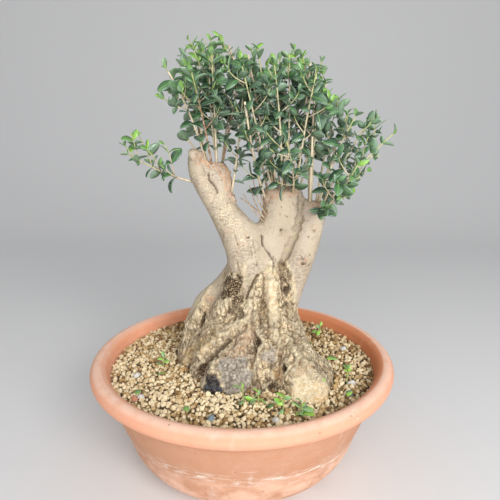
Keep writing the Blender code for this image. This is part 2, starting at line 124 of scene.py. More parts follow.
# Bare twigs in the fork between the arm and the centre stump: root, elbow and tip in mm
FORK_TWIGS = (
    ((24, -12, 178), (12, -14, 192), (2, -14, 212)),
    ((24, -12, 182), (16, -16, 196), (9, -16, 222)),
    ((24, -14, 188), (16, -18, 206), (13, -18, 232)),
    ((25, -6, 184), (14, -4, 196), (-2, -2, 206)),
    ((25, -10, 194), (20, -12, 212), (20, -14, 240)),
)
# The crown's outline from the front as x and height in mm, from its lower left over the top to its lower right
CROWN_OUTLINE = (
    (-65, 262), (-74, 282), (-88, 295), (-89, 316), (-100, 334), (-88, 355), (-80, 378), (-60, 376), (-40, 390),
    (-30, 397), (-22, 384), (-2, 389), (30, 380), (53, 376), (89, 373), (107, 355), (117, 325), (139, 312),
    (167, 314), (188, 284), (167, 267), (139, 242), (127, 220), (114, 185), (60, 170), (0, 170),
)
SIDE_OUTLINE = ((-144, 251), (-140, 261), (-117, 290), (-108, 294), (-81, 290), (-82, 263), (-91, 242), (-55, 232), (-56, 215), (-93, 225), (-111, 232), (-129, 242))
SEEDLINGS = ((2, -108, 3), (20, -112, 2), (44, -124, 3), (64, -128, 2), (124, -62, 2), (-100, -24, 2), (112, 84, 2))

# Marks on the trunk: x, y, height above the rim level and reach in mm, and strength
MARKS = {
    "dark": (
        (-18, -38, 111, 10, 1.0), (-5, -38, 110, 8, 1.0), (-12, -40, 101, 12, 1.0), (-6, -42, 89, 9, 0.9),
        (-24, -38, 98, 9, 0.9), (-3, -50, 75, 8, 0.7), (-12, -46, 80, 7, 0.5), (-47, -38, 63, 4, 0.9),
        (53, -30, 100, 6, 0.7), (57, -26, 118, 4, 0.6), (54, -38, 82, 5, 0.7), (18, -64, 47, 6, 0.9), (12, -70, 40, 5, 0.6),
        (49, -70, 16, 4, 1.0), (35, -92, 5, 8, 0.8), (29, -88, 12, 6, 0.8), (-45, -78, 16, 8, 0.9), (-40, -84, 8, 5, 0.8), (-40, -80, 21, 7, 0.7), (-52, -74, 10, 6, 0.5),
        (22, -92, 0, 5, 0.6), (-66, -22, 40, 6, 0.3),
    ),
    "grey": (
        (-7, -86, 12, 19, 1.0), (-18, -80, 23, 11, 1.0), (-4, -80, 25, 11, 1.0), (-10, -88, 2, 13, 1.0), (5, -88, 12, 10, 1.0),
        (31, -72, 30, 9, 0.9), (34, -72, 38, 7, 0.7),
    ),
    "char": ((-34, -90, 0, 11, 1.0), (-26, -90, -5, 10, 1.0), (-32, -90, 7, 9, 1.0), (-38, -84, 10, 7, 0.9)),
    "callus": (
        (-54, -6, 261, 8, 1.0), (-50, -8, 252, 7, 0.7), (-36, -4, 252, 12, 0.9), (-20, -10, 246, 13, 0.9), (-13, -10, 232, 12, 0.8),
        (-14, -10, 216, 9, 0.8), (-8, -6, 206, 6, 1.0), (24, -14, 206, 9, 0.6), (40, -16, 216, 12, 0.8), (56, -16, 218, 12, 0.8),
        (22, -12, 188, 7, 0.5), (88, -16, 202, 10, 0.8), (96, -14, 196, 8, 0.8), (86, -14, 170, 6, 0.4),
        (-2, -66, 46, 10, 0.7), (8, -64, 53, 8, 0.7), (-10, -74, 37, 9, 0.6), (4, -74, 38, 7, 0.6), (15, -92, 2, 7, 0.8),
        (70, -80, 24, 9, 0.35), (-37, -36, 88, 8, 0.7), (44, -76, 12, 6, 0.6), (74, -24, 132, 5, 0.7),
    ),
    "worn": (
        (-38, -20, 226, 11, 0.6), (-32, -20, 208, 12, 0.8), (-22, -20, 190, 13, 1.0), (-10, -24, 172, 13, 1.0),
        (2, -26, 158, 13, 0.9), (10, -28, 144, 12, 0.7), (-10, -28, 140, 14, 0.5),
    ),
    "cream": (
        (70, -100, 14, 16, 0.8), (60, -104, 2, 17, 1.0), (80, -96, 0, 17, 1.0), (96, -80, -6, 15, 0.8), (66, -104, -12, 16, 0.9),
        (35, -34, 104, 9, 1.0), (34, -32, 120, 8, 0.8), (37, -42, 84, 9, 1.0), (38, -44, 72, 8, 0.8), (36, -38, 94, 9, 1.0),
        (-2, -32, 128, 7, 0.5),
    ),
    # green: yellow-green tint on the shaded left edges and down the groove between the stumps, partly algae and partly
    # painted shade
    "green": (
        (-56, -10, 236, 7, 0.25), (-50, -12, 200, 8, 0.35), (-38, -16, 172, 7, 0.35), (-30, -20, 150, 7, 0.35),
        (-44, -30, 98, 6, 0.35), (-56, -26, 82, 7, 0.35), (-66, -20, 66, 7, 0.3), (4, -34, 112, 6, 0.3),
        (69, -18, 196, 4.5, 0.3), (67, -18, 180, 4.5, 0.35), (62, -20, 162, 5, 0.4), (54, -24, 146, 5, 0.4), (30, -30, 124, 5, 0.4),
    ),
    "ochre": (
        (-47, -50, 37, 13, 0.6), (-60, -44, 20, 13, 0.7), (-34, -48, 50, 9, 0.5), (-70, -34, 4, 10, 0.5), (42, -76, 13, 7, 0.9),
        (60, -106, -12, 8, 0.6), (84, -98, -10, 8, 0.6), (98, -84, -12, 7, 0.5), (70, -80, 26, 8, 0.35), (12, -92, 2, 6, 0.5),
    ),
}
# Where the old rough bark ends from the front: x and height in mm. It lies below this edge.
ROUGH_EDGE = (
    (-80, 38), (-63, 60), (-42, 88), (-28, 118), (1, 119), (3, 96), (10, 106), (18, 118), (35, 128),
    (57, 128), (61, 104), (64, 80), (80, 58), (95, 48),
)
# The height in mm to which the smooth bark runs down the left flank
FLANK_EDGE = 78
# Ridges raised from the bark: points in mm, then half width and height in mm
RIDGES = (
    (((14, -44, 72), (-23, -44, 49), (-49, -38, 24), (-73, -14, -4)), 8.0, 3.4),
    (((33, -30, 132), (35, -34, 100), (36, -42, 67), (44, -56, 40)), 6.0, 3.4),
    (((52, -30, 134), (62, -28, 108), (63, -30, 84)), 4.0, 2.4),
    (((4, -34, 132), (-1, -36, 108), (-6, -40, 84)), 5.0, 2.2),
    (((10, -50, 58), (-2, -60, 42), (-26, -58, 30)), 5.0, 2.6),
    (((50, -48, 50), (66, -62, 28), (90, -72, 4)), 6.0, 2.6),
    (((-40, -14, 96), (-54, -16, 72), (-66, -12, 44)), 5.0, 2.0),
)
# Lines cut into the bark: points in mm, then half width and depth in mm, and how dark they are painted, partly dirt and
# partly painted shade in the cut
CRACKS = (
    (((24, -28, 164), (26, -28, 152), (34, -28, 142), (38, -30, 134)), 2.7, 2.8, 1.0),
    (((38, -30, 140), (37, -32, 120)), 2.0, 2.4, 0.7),
    (((70, -16, 214), (69, -18, 196), (66, -20, 172), (56, -22, 146), (46, -26, 128)), 6.0, 4.2, 0.10),
    (((12, -30, 160), (16, -30, 144)), 1.2, 1.0, 0.5),
    (((4, -28, 166), (10, -30, 150), (12, -32, 138)), 1.1, 1.0, 0.45),
    (((-10, -28, 168), (-4, -30, 152)), 1.1, 1.0, 0.5),
    (((-6, -32, 134), (-4, -36, 124)), 1.4, 1.2, 0.6),
    (((-38, -22, 236), (-37, -22, 229), (-31, -22, 221), (-28, -22, 214)), 1.7, 2.2, 1.0),
    (((-52, -20, 256), (-46, -20, 246), (-42, -20, 236)), 1.4, 1.2, 0.4),
    (((-45, -38, 72), (-47, -40, 64), (-50, -42, 56)), 2.4, 4.0, 1.0),
    (((19, -35, 118), (11, -38, 106), (4, -40, 92)), 2.6, 3.0, 0.8),
    (((-17, -50, 42), (-36, -48, 20), (-57, -40, -6)), 4.2, 4.6, 0.8),
    (((50, -34, 112), (56, -34, 104), (54, -36, 92)), 1.8, 2.6, 0.7),
    (((44, -38, 90), (46, -40, 80), (54, -40, 84)), 1.6, 2.0, 0.6),
    (((46, -34, 118), (48, -36, 98), (52, -40, 84)), 1.6, 2.2, 0.6),
    (((26, -40, 118), (24, -46, 90), (22, -52, 62)), 1.5, 2.0, 0.6),
    (((14, -54, 56), (16, -66, 40), (12, -80, 22), (14, -88, 8)), 2.8, 3.4, 0.35),
    (((46, -58, 44), (44, -66, 28), (40, -84, 8)), 2.6, 2.6, 0.15),
    (((-66, -30, 34), (-72, -22, 14), (-78, -20, -4)), 2.2, 2.6, 0.5),
    (((71, -24, 136), (76, -24, 134)), 1.0, 1.0, 0.8),
    (((71, -24, 131), (77, -24, 129)), 1.0, 1.0, 0.8),
)
# Holes in the bark: x, y, height, reach and depth in mm. Each is painted dark inside, partly rot and partly painted
# shade
PITS = (
    (49, -70, 16, 3.4, 4.0), (46, -26, 170, 1.9, 1.4), (8, -26, 162, 1.5, 1.2), (73, -24, 130, 2.2, 0.9), (34, -92, 4, 5, 3.0),
    (53, -32, 98, 5, 2.4), (18, -64, 47, 4, 3.0), (86, -16, 168, 1.5, 1.0),
)
# Lumps on the bark: x, y, height, reach and rise in mm
LUMPS = (
    (-54, -6, 258, 9, 4.5), (-20, -10, 242, 10, 2.4), (-8, -6, 206, 6, 3.6), (31, -72, 32, 9, 2.6), (22, -12, 204, 5, 2.0),
    (96, -14, 200, 6, 2.0), (40, -16, 220, 5, 1.8), (88, -16, 170, 5, 1.4), (72, -26, 130, 5, 1.2), (14, -28, 152, 8, 1.6),
)

# Things that lie on the grit: x and y in mm, turn in degrees, and length in mm
FALLEN_LEAVES = (
    (100, -58, 20, 15), (92, -96, 130, 13), (118, -96, 60, 12), (-92, -44, 200, 12), (-118, -92, 80, 11),
    (76, -134, 150, 14), (56, -132, 10, 15), (30, -122, 70, 12), (132, -34, 110, 13), (-60, -118, 300, 11),
    (86, 40, 20, 12), (-70, 96, 220, 13), (10, 126, 140, 12),
)
PEBBLES = (
    (129, -64, 5.0, "pale"), (122, -88, 4.6, "blue"), (-128, -46, 4.4, "pale"), (-112, -94, 4.2, "pale"),
    (-118, -98, 4.6, "clay"), (36, -140, 4.4, "pale"), (-30, -138, 4.8, "blue"), (138, 30, 4.6, "pale"), (-60, 120, 5.0, "blue"),
)

# The photograph's view: lens and place fitted to the bowl's rim and foot
LENS, SENSOR = 33.12, 36.0
CAMERA_PLACE = (0.0096, -0.5588, 0.3954)
CAMERA_PITCH = math.radians(90 - 12.55)


# Values that a user would change


def colour_property(name, description, default):
    return FloatVectorProperty(name=name, description=description, subtype="COLOR", size=3, min=0, max=1, default=default)


class BowlSettings(bpy.types.PropertyGroup):
    steps: IntProperty(name="Steps round", description="Faces round the bowl", default=144, min=24, max=256)
    wobble: FloatProperty(
        name="Wobble", description="How far the hand-turned wall strays", default=0.0006, min=0, max=0.005, unit="LENGTH"
    )
    clay: colour_property("Clay", "Fired clay of the wall", (0.90, 0.44, 0.28))
    warm: colour_property("Warm clay", "Orange clay on the rim's inner slope", (0.66, 0.225, 0.092))
    bloom: colour_property("Bloom", "Pale lime bloom on the rim and in patches", (0.86, 0.56, 0.42))
    lime: colour_property("Lime", "White streaks where water has dried", (0.86, 0.78, 0.70))


class GritSettings(bpy.types.PropertyGroup):
    spacing: FloatProperty(name="Spacing", description="Distance between grains", default=0.0050, min=0.002, unit="LENGTH")
    smallest: FloatProperty(name="Smallest", description="Half length of the smallest grain", default=0.0021, min=0.0005, unit="LENGTH")
    largest: FloatProperty(name="Largest", description="Half length of the largest grain", default=0.0043, min=0.0005, unit="LENGTH")
    seed: IntProperty(name="Seed", description="Start of the grains' random places", default=21)
    pale: colour_property("Pale grain", "Pumice", (0.90, 0.755, 0.50))
    tan: colour_property("Tan grain", "Weathered grit", (0.55, 0.37, 0.165))
    brown: colour_property("Brown grain", "Clay and bark grit", (0.22, 0.115, 0.042))
    # Earth: very dark, partly its own colour and partly painted shade between the grains
    earth: colour_property("Earth", "Damp earth under the grains", (0.055, 0.033, 0.015))


class TrunkSettings(bpy.types.PropertyGroup):
    cell: FloatProperty(name="Detail", description="Size of the bark's faces", default=0.00155, min=0.001, max=0.01, unit="LENGTH")
    fissures: FloatProperty(name="Fissures", description="Depth of the old bark's fissures", default=0.0030, min=0, unit="LENGTH")
    smooth_bark: colour_property("Smooth bark", "Pale young bark", (0.535, 0.452, 0.362))
    smooth_shade: colour_property("Smooth bark's shade", "Browner patches of the young bark", (0.425, 0.328, 0.232))
    old_bark: colour_property("Old bark", "Ridges of the rough bark", (0.80, 0.61, 0.37))
    old_shade: colour_property("Old bark's furrows", "Furrows of the rough bark", (0.165, 0.090, 0.038))
    dead: colour_property("Dark wood", "Rotten and wet places", (0.052, 0.027, 0.012))
    weathered: colour_property("Weathered wood", "Grey sawn face", (0.49, 0.43, 0.355))
    charred: colour_property("Charred wood", "Black stub", (0.030, 0.029, 0.032))
    callus: colour_property("Callus", "Healed wood at the cuts", (0.56, 0.31, 0.18))
    cream: colour_property("Cream wood", "Bare knuckle and ridge", (0.90, 0.78, 0.55))
    # Yellow-green tint: partly algae, partly painted shade on the shaded edges
    algae_and_shade: colour_property("Algae", "Green tint of the shaded edge", (0.50, 0.46, 0.26))
    ochre: colour_property("Ochre", "Yellow bark of the left root and the knuckle's edge", (0.69, 0.43, 0.16))


class CrownSettings(bpy.types.PropertyGroup):
    leaf_length: FloatProperty(name="Leaf length", description="Length of a grown leaf", default=0.0185, min=0.004, unit="LENGTH")
    leaf_width: FloatProperty(name="Leaf width", description="Width of a grown leaf", default=0.0108, min=0.002, unit="LENGTH")
    spacing: FloatProperty(name="Pair spacing", description="Stem between two pairs of leaves", default=0.0138, min=0.004, unit="LENGTH")
    twigs: IntProperty(name="Twigs", description="Side twigs on a shoot of full height", default=5, min=0, max=20)
    pruned: FloatProperty(name="Pruned", description="Share of the shoots that end in a cut stub", default=0.25, min=0, max=1)
    seed: IntProperty(name="Seed", description="Start of the twigs' and leaves' random places", default=8)
    old_leaf: colour_property("Old leaf", "Upper side of a grown leaf", (0.038, 0.080, 0.057))
    mid_leaf: colour_property("Summer leaf", "Upper side of a leaf of this summer", (0.060, 0.170, 0.062))
    young_leaf: colour_property("Young leaf", "Leaves at the growing tips", (0.30, 0.56, 0.070))
    # The underside's grey-blue is partly the leaf's own and partly painted sheen. It also gives the painted sheen
    # patches on the upper side.
    underside_and_sheen: colour_property("Underside", "Lower side of a leaf", (0.22, 0.33, 0.22))
    wood: colour_property("Shoot wood", "Tan bark of a shoot", (0.66, 0.56, 0.39))
    red_wood: colour_property("Red shoot wood", "Brown bark of the shaded shoots", (0.26, 0.145, 0.085))
    green_wood: colour_property("Green shoot", "Soft stem at the growing tips", (0.36, 0.42, 0.13))


class StageSettings(bpy.types.PropertyGroup):
    floor: colour_property("Floor", "Pale floor and backdrop", (0.74, 0.735, 0.73))
    key: FloatProperty(name="Key light", description="Large soft light from the upper right", default=27, min=0, unit="POWER")
    fill: FloatProperty(name="Fill light", description="Broad light from the front", default=15, min=0, unit="POWER")
    sky: FloatProperty(name="Sky", description="Strength of the light from all round", default=0.5, min=0)


# Small helpers for meshes and pieces


def curved(points, steps):
    """Catmull-Rom points through a short list of points of any size."""
    ends = [points[0], *points, points[-1]]
    route = []
    for a, b, c, d in zip(ends, ends[1:], ends[2:], ends[3:]):
        for step in range(steps):
            t = step / steps
            route.append(
                tuple(
                    0.5 * (2 * q + (r - p) * t + (2 * p - 5 * q + 4 * r - s) * t**2 + (3 * q - p - 3 * r + s) * t**3)
                    for p, q, r, s in zip(a, b, c, d)
                )
            )
    route.append(tuple(points[-1]))
    return route


def smoothstep(low, high, value):
    """0 below low, 1 above high and a soft step between them, for numbers and arrays."""
    t = np.clip((value - low) / (high - low), 0, 1)
    return t * t * (3 - 2 * t)


def mesh_from(bm, name):
    """The finished mesh of a bmesh, with its faces smooth."""
    mesh = bpy.data.meshes.new(name)
    bm.to_mesh(mesh)
    bm.free()
    mesh.shade_smooth()
    return mesh


def new_piece(name, mesh, materials, replaced=()):
    """A piece of the part: its object at the origin, riding on the part's one body."""
    for made in materials:
        mesh.materials.append(made)
    piece = bpy.data.objects.new(name, mesh)
    bpy.context.scene.collection.objects.link(piece)
    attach(piece, BODY)
    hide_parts(*replaced)
    return piece


def with_modifiers(mesh, *steps):
    """A mesh with modifiers applied, each given as its kind and its settings."""
    obj = bpy.data.objects.new("working_copy", mesh)
    bpy.context.scene.collection.objects.link(obj)
    for kind, settings in steps:
        step = obj.modifiers.new(kind.lower(), kind)
        for name, value in settings.items():
            setattr(step, name, value)
    made = bpy.data.meshes.new_from_object(obj.evaluated_get(bpy.context.evaluated_depsgraph_get()))
    bpy.data.objects.remove(obj)
    return made


def merged_copy(node):
    """A CAD node's mesh with its loose triangles merged into one skin."""
    bm = bmesh.new()
    bm.from_mesh(frame["nodes"][node].data)
    bmesh.ops.remove_doubles(bm, verts=bm.verts, dist=0.01 * MM)
    mesh = bpy.data.meshes.new(node + "_skin")
    bm.to_mesh(mesh)
    bm.free()
    return mesh


def tree_of(mesh):
    return BVHTree.FromPolygons([v.co for v in mesh.vertices], [list(p.vertices) for p in mesh.polygons])


def set_attribute(mesh, name, values):
    """Stores one number for each vertex under a name that a material reads."""
    layer = mesh.attributes.new(name, "FLOAT", "POINT")
    layer.data.foreach_set("value", np.asarray(values, np.float32))


def vertex_places(mesh):
    places = np.empty(len(mesh.vertices) * 3, np.float32)
    mesh.vertices.foreach_get("co", places)
    return places.reshape(-1, 3).astype(float)


# Small helpers for shader nodes


def shader_node(tree, kind, inputs=None, **settings):
    """Adds a node. Inputs are values or the sockets that feed them, by name or by number."""
    made = tree.nodes.new(kind)
    for name, value in settings.items():
        setattr(made, name, value)
    for name, value in (inputs or {}).items():
        if isinstance(value, bpy.types.NodeSocket):
            tree.links.new(value, made.inputs[name])
        else:
            made.inputs[name].default_value = value
    return made


def rgba(colour):
    return (*colour[:3], 1.0)


def mixed(tree, factor, first, second, blend="MIX"):
    """A colour between two colours. Numbers 0, 6 and 7 are the factor and the two colours of a Mix node."""
    colours = [rgba(c) if not isinstance(c, bpy.types.NodeSocket) else c for c in (first, second)]
    made = shader_node(tree, "ShaderNodeMix", data_type="RGBA", blend_type=blend, inputs={0: factor, 6: colours[0], 7: colours[1]})
    return made.outputs[2]


def maths(tree, operation, first, second=0.5, clamp=False):
    return shader_node(tree, "ShaderNodeMath", {0: first, 1: second}, operation=operation, use_clamp=clamp).outputs[0]


def mapped(tree, value, low, high, to_low=0.0, to_high=1.0):
    inputs = {"Value": value, "From Min": low, "From Max": high, "To Min": to_low, "To Max": to_high}
    return shader_node(tree, "ShaderNodeMapRange", inputs, interpolation_type="SMOOTHSTEP").outputs["Result"]


def noise_value(tree, vector, scale, detail=3.0, roughness=0.55, distortion=0.0):
    inputs = {"Vector": vector, "Scale": scale, "Detail": detail, "Roughness": roughness, "Distortion": distortion}
    return shader_node(tree, "ShaderNodeTexNoise", inputs).outputs["Fac"]


def stretched(tree, vector, scale):
    return shader_node(tree, "ShaderNodeVectorMath", {0: vector, 1: scale}, operation="MULTIPLY").outputs[0]


def attribute(tree, name):
    return shader_node(tree, "ShaderNodeAttribute", attribute_name=name).outputs["Fac"]


def place_of(tree):
    return shader_node(tree, "ShaderNodeTexCoord").outputs["Object"]


def new_group(name, inputs, outputs):
    """An empty shader group with named sockets. Returns its tree, its input sockets and its output node."""
    tree = bpy.data.node_groups.new(name, "ShaderNodeTree")
    for socket, kind, default in inputs:
        made = tree.interface.new_socket(socket, in_out="INPUT", socket_type=kind)
        if default is not None:
            made.default_value = default
    for socket, kind in outputs:
        tree.interface.new_socket(socket, in_out="OUTPUT", socket_type=kind)
    entry = tree.nodes.new("NodeGroupInput")
    end = tree.nodes.new("NodeGroupOutput")
    return tree, entry.outputs, end.inputs


def use_group(tree, group, inputs):
    made = tree.nodes.new("ShaderNodeGroup")
    made.node_tree = group
    for name, value in inputs.items():
        if isinstance(value, bpy.types.NodeSocket):
            tree.links.new(value, made.inputs[name])
        else:
            made.inputs[name].default_value = value
    return made.outputs


FLOAT, COLOUR, VECTOR = "NodeSocketFloat", "NodeSocketColor", "NodeSocketVector"


def patches_group():
    """Soft-edged patches: a mask that is 1 inside them."""
    name = "Patches"
    if name in bpy.data.node_groups:
        return bpy.data.node_groups[name]
    sockets = [("Vector", VECTOR, None), ("Scale", FLOAT, 20.0), ("Cover", FLOAT, 0.5), ("Softness", FLOAT, 0.1)]
    tree, given, ends = new_group(name, sockets, [("Mask", FLOAT)])
    cloud = noise_value(tree, given["Vector"], given["Scale"], detail=5.0, roughness=0.6)
    edge = maths(tree, "SUBTRACT", 1.0, given["Cover"])
    low = maths(tree, "SUBTRACT", edge, given["Softness"])
    high = maths(tree, "ADD", edge, given["Softness"])
    tree.links.new(mapped(tree, cloud, low, high), ends["Mask"])
    return tree


def specks_group():
    """Small round specks or pits, spread thinly: a mask that is 1 inside them."""
    name = "Specks"
    if name in bpy.data.node_groups:
        return bpy.data.node_groups[name]
    sockets = [("Vector", VECTOR, None), ("Scale", FLOAT, 120.0), ("Size", FLOAT, 0.2)]
    tree, given, ends = new_group(name, sockets, [("Mask", FLOAT)])
    cells = shader_node(tree, "ShaderNodeTexVoronoi", {"Vector": given["Vector"], "Scale": given["Scale"]})
    low = maths(tree, "MULTIPLY", given["Size"], 0.5)
    tree.links.new(mapped(tree, cells.outputs["Distance"], low, given["Size"], 1.0, 0.0), ends["Mask"])
    return tree


def relief_group():
    """A rough surface of coarse and fine noise, as a normal."""
    name = "Relief"
    if name in bpy.data.node_groups:
        return bpy.data.node_groups[name]
    sockets = [("Vector", VECTOR, None), ("Scale", FLOAT, 200.0), ("Strength", FLOAT, 0.5), ("Distance", FLOAT, 0.001)]
    sockets += [("Extra height", FLOAT, 0.0)]
    tree, given, ends = new_group(name, sockets, [("Normal", VECTOR)])
    coarse = noise_value(tree, given["Vector"], given["Scale"], detail=4.0, roughness=0.6)
    height = maths(tree, "ADD", coarse, given["Extra height"])
    inputs = {"Strength": given["Strength"], "Distance": given["Distance"], "Height": height}
    tree.links.new(shader_node(tree, "ShaderNodeBump", inputs).outputs["Normal"], ends["Normal"])
    return tree


def new_material(name):
    """An empty material with its surface shader. Returns the material, its tree and the shader."""
    made = bpy.data.materials.new(name)
    made.use_nodes = True
    shader = made.node_tree.nodes["Principled BSDF"]
    return made, made.node_tree, shader


# Materials


def terracotta_material(bowl):
    """Fired clay: warm inside, deepened towards the back and right by painted shade, paler on the rim, with lime bloom,
    water streaks, scratches and fine turning lines.
    """
    made, tree, shader = new_material("fired_clay")
    place = place_of(tree)
    axes = shader_node(tree, "ShaderNodeSeparateXYZ", {0: place})
    radius = maths(tree, "SQRT", maths(tree, "ADD", maths(tree, "MULTIPLY", axes.outputs[0], axes.outputs[0]),
                                       maths(tree, "MULTIPLY", axes.outputs[1], axes.outputs[1])))
    height = axes.outputs[2]
    section = maths(tree, "ADD", height, radius)
    wall_way = shader_node(tree, "ShaderNodeCombineXYZ", {0: axes.outputs[0], 1: axes.outputs[1], 2: section}).outputs[0]

    patches = use_group(tree, patches_group(), {"Vector": place, "Scale": 17.0, "Cover": 0.5, "Softness": 0.16})["Mask"]
    fine_patches = use_group(tree, patches_group(), {"Vector": place, "Scale": 75.0, "Cover": 0.46, "Softness": 0.2})["Mask"]
    colour = mixed(tree, maths(tree, "MULTIPLY", patches, 0.42), bowl.clay, bowl.bloom)
    colour = mixed(tree, maths(tree, "MULTIPLY", fine_patches, 0.2), colour, bowl.warm)
    roll = maths(tree, "MULTIPLY", mapped(tree, radius, 0.1745, 0.184), mapped(tree, height, RIM_LEVEL - 0.012, RIM_LEVEL - 0.006))
    colour = mixed(tree, maths(tree, "MULTIPLY", roll, 0.6), colour, tuple(c * 0.7 for c in bowl.clay))
    crest = mapped(tree, height, RIM_LEVEL + 0.0045, RIM_LEVEL + 0.0092)
    crest_worn = maths(tree, "MULTIPLY", crest, mapped(tree, noise_value(tree, wall_way, 60.0, 4.0), 0.25, 0.6, 0.45, 0.95))
    colour = mixed(tree, crest_worn, colour, bowl.bloom)
    # The rim's inner slope takes the orange clay. The orange is the clay's own; its growth towards the back and right
    # is painted shade on the slope that faces away from the light.
    inside = maths(tree, "MULTIPLY", mapped(tree, radius, 0.1785, 0.1755), mapped(tree, height, 0.10, 0.118))
    painted_shade_side = mapped(tree, maths(tree, "ADD", axes.outputs[0], axes.outputs[1]), -0.06, 0.12, 0.3, 0.9)
    colour = mixed(tree, maths(tree, "MULTIPLY", inside, painted_shade_side), colour, bowl.warm)
    soil_line = maths(tree, "MULTIPLY", mapped(tree, height, 0.1275, 0.1215), mapped(tree, radius, 0.176, 0.172))
    colour = mixed(tree, maths(tree, "MULTIPLY", soil_line, 0.55), colour, (0.26, 0.14, 0.07))

    ring_level = mapped(tree, noise_value(tree, wall_way, 9.0, 3.0), 0.3, 0.7, 0.053, 0.066)
    beside_ring = maths(tree, "ABSOLUTE", maths(tree, "SUBTRACT", height, ring_level))
    dash = noise_value(tree, stretched(tree, wall_way, (1.0, 1.0, 4.0)), 70.0, 5.0, 0.7)
    thin_ring = maths(tree, "MULTIPLY", mapped(tree, beside_ring, 0.0022, 0.0004), mapped(tree, dash, 0.44, 0.58))
    wide_ring = maths(tree, "MULTIPLY", mapped(tree, beside_ring, 0.016, 0.001), mapped(tree, dash, 0.50, 0.66))
    ring = maths(tree, "MAXIMUM", thin_ring, maths(tree, "MULTIPLY", wide_ring, 0.7))
    colour = mixed(tree, maths(tree, "MULTIPLY", ring, 0.85), colour, bowl.lime)
    low_bloom = maths(tree, "MULTIPLY", mapped(tree, height, 0.076, 0.036), mapped(tree, noise_value(tree, wall_way, 30.0, 5.0), 0.35, 0.62))
    colour = mixed(tree, maths(tree, "MULTIPLY", low_bloom, 0.7), colour, bowl.bloom)
    drips = mapped(tree, noise_value(tree, stretched(tree, wall_way, (1.0, 1.0, 0.12)), 60.0, 3.0), 0.6, 0.75)
    colour = mixed(tree, maths(tree, "MULTIPLY", drips, 0.16), colour, bowl.lime)

    scratch_way = stretched(tree, wall_way, (0.10, 0.10, 1.0))
    scratches = mapped(tree, noise_value(tree, scratch_way, 420.0, 2.0, distortion=0.6), 0.68, 0.74)
    colour = mixed(tree, maths(tree, "MULTIPLY", scratches, 0.22), colour, bowl.lime)
    specks = use_group(tree, specks_group(), {"Vector": place, "Scale": 62.0, "Size": 0.085})["Mask"]
    colour = mixed(tree, maths(tree, "MULTIPLY", specks, 0.55), colour, (0.19, 0.10, 0.06))

    turning = noise_value(tree, stretched(tree, wall_way, (0.06, 0.06, 1.0)), 260.0, 2.0)
    extra = maths(tree, "ADD", maths(tree, "MULTIPLY", turning, 1.4), maths(tree, "MULTIPLY", scratches, -0.5))
    relief = use_group(tree, relief_group(), {"Vector": place, "Scale": 420.0, "Strength": 0.42, "Distance": 0.0006, "Extra height": extra})
    tree.links.new(colour, shader.inputs["Base Color"])
    tree.links.new(relief["Normal"], shader.inputs["Normal"])
    tree.links.new(mapped(tree, patches, 0.0, 1.0, 0.82, 0.95), shader.inputs["Roughness"])
    shader.inputs["Specular IOR Level"].default_value = 0.3
    return made


def earth_material(grit):
    """Damp earth and dust between the grains, made very dark: partly the earth's own colour, partly painted shade in
    the gaps between grains.
    """
    made, tree, shader = new_material("earth")
    place = place_of(tree)
    crumbs = noise_value(tree, place, 210.0, 5.0)
    colour = mixed(tree, mapped(tree, crumbs, 0.4, 0.66), grit.earth, tuple(c * 0.62 for c in grit.tan))
    relief = use_group(tree, relief_group(), {"Vector": place, "Scale": 300.0, "Strength": 0.9, "Distance": 0.002})
    tree.links.new(colour, shader.inputs["Base Color"])
    tree.links.new(relief["Normal"], shader.inputs["Normal"])
    shader.inputs["Roughness"].default_value = 0.95
    return made


def grain_material(name, grit, stones=None):
    """Pumice and clay grit: each grain has its own tone, mottled and pitted. Stones give three colours instead."""
    made, tree, shader = new_material(name)
    place = place_of(tree)
    tone = attribute(tree, "tone")
    dark, middle, pale = stones or (grit.brown, grit.tan, grit.pale)
    colour = mixed(tree, mapped(tree, tone, 0.02, 0.42), dark, middle)
    colour = mixed(tree, mapped(tree, tone, 0.38, 0.86), colour, pale)
    mottle = use_group(tree, patches_group(), {"Vector": place, "Scale": 420.0, "Cover": 0.45, "Softness": 0.14})["Mask"]
    colour = mixed(tree, maths(tree, "MULTIPLY", mottle, 0.28), colour, dark)
    pits = use_group(tree, specks_group(), {"Vector": place, "Scale": 900.0, "Size": 0.34})["Mask"]
    # The pits take the earth's dark colour: partly dust, partly painted shade in them.
    colour = mixed(tree, maths(tree, "MULTIPLY", pits, 0.3), colour, grit.earth)
    pit_depth = maths(tree, "MULTIPLY", pits, -0.8)
    relief = use_group(tree, relief_group(), {"Vector": place, "Scale": 800.0, "Strength": 0.5, "Distance": 0.0005, "Extra height": pit_depth})
    tree.links.new(colour, shader.inputs["Base Color"])
    tree.links.new(relief["Normal"], shader.inputs["Normal"])
    shader.inputs["Roughness"].default_value = 0.9
    return made


def fissures_group():
    """Thin winding dark lines, as in old bark: a mask that is 1 in them."""
    name = "Fissures"
    if name in bpy.data.node_groups:
        return bpy.data.node_groups[name]
    sockets = [("Vector", VECTOR, None), ("Scale", FLOAT, 80.0), ("Width", FLOAT, 0.04), ("Wander", FLOAT, 0.5)]
    tree, given, ends = new_group(name, sockets, [("Mask", FLOAT)])
    cloud = noise_value(tree, given["Vector"], given["Scale"], detail=4.0, roughness=0.6, distortion=given["Wander"])
    beside = maths(tree, "ABSOLUTE", maths(tree, "SUBTRACT", cloud, 0.5))
    tree.links.new(mapped(tree, beside, 0.0, given["Width"], 1.0, 0.0), ends["Mask"])
    return tree


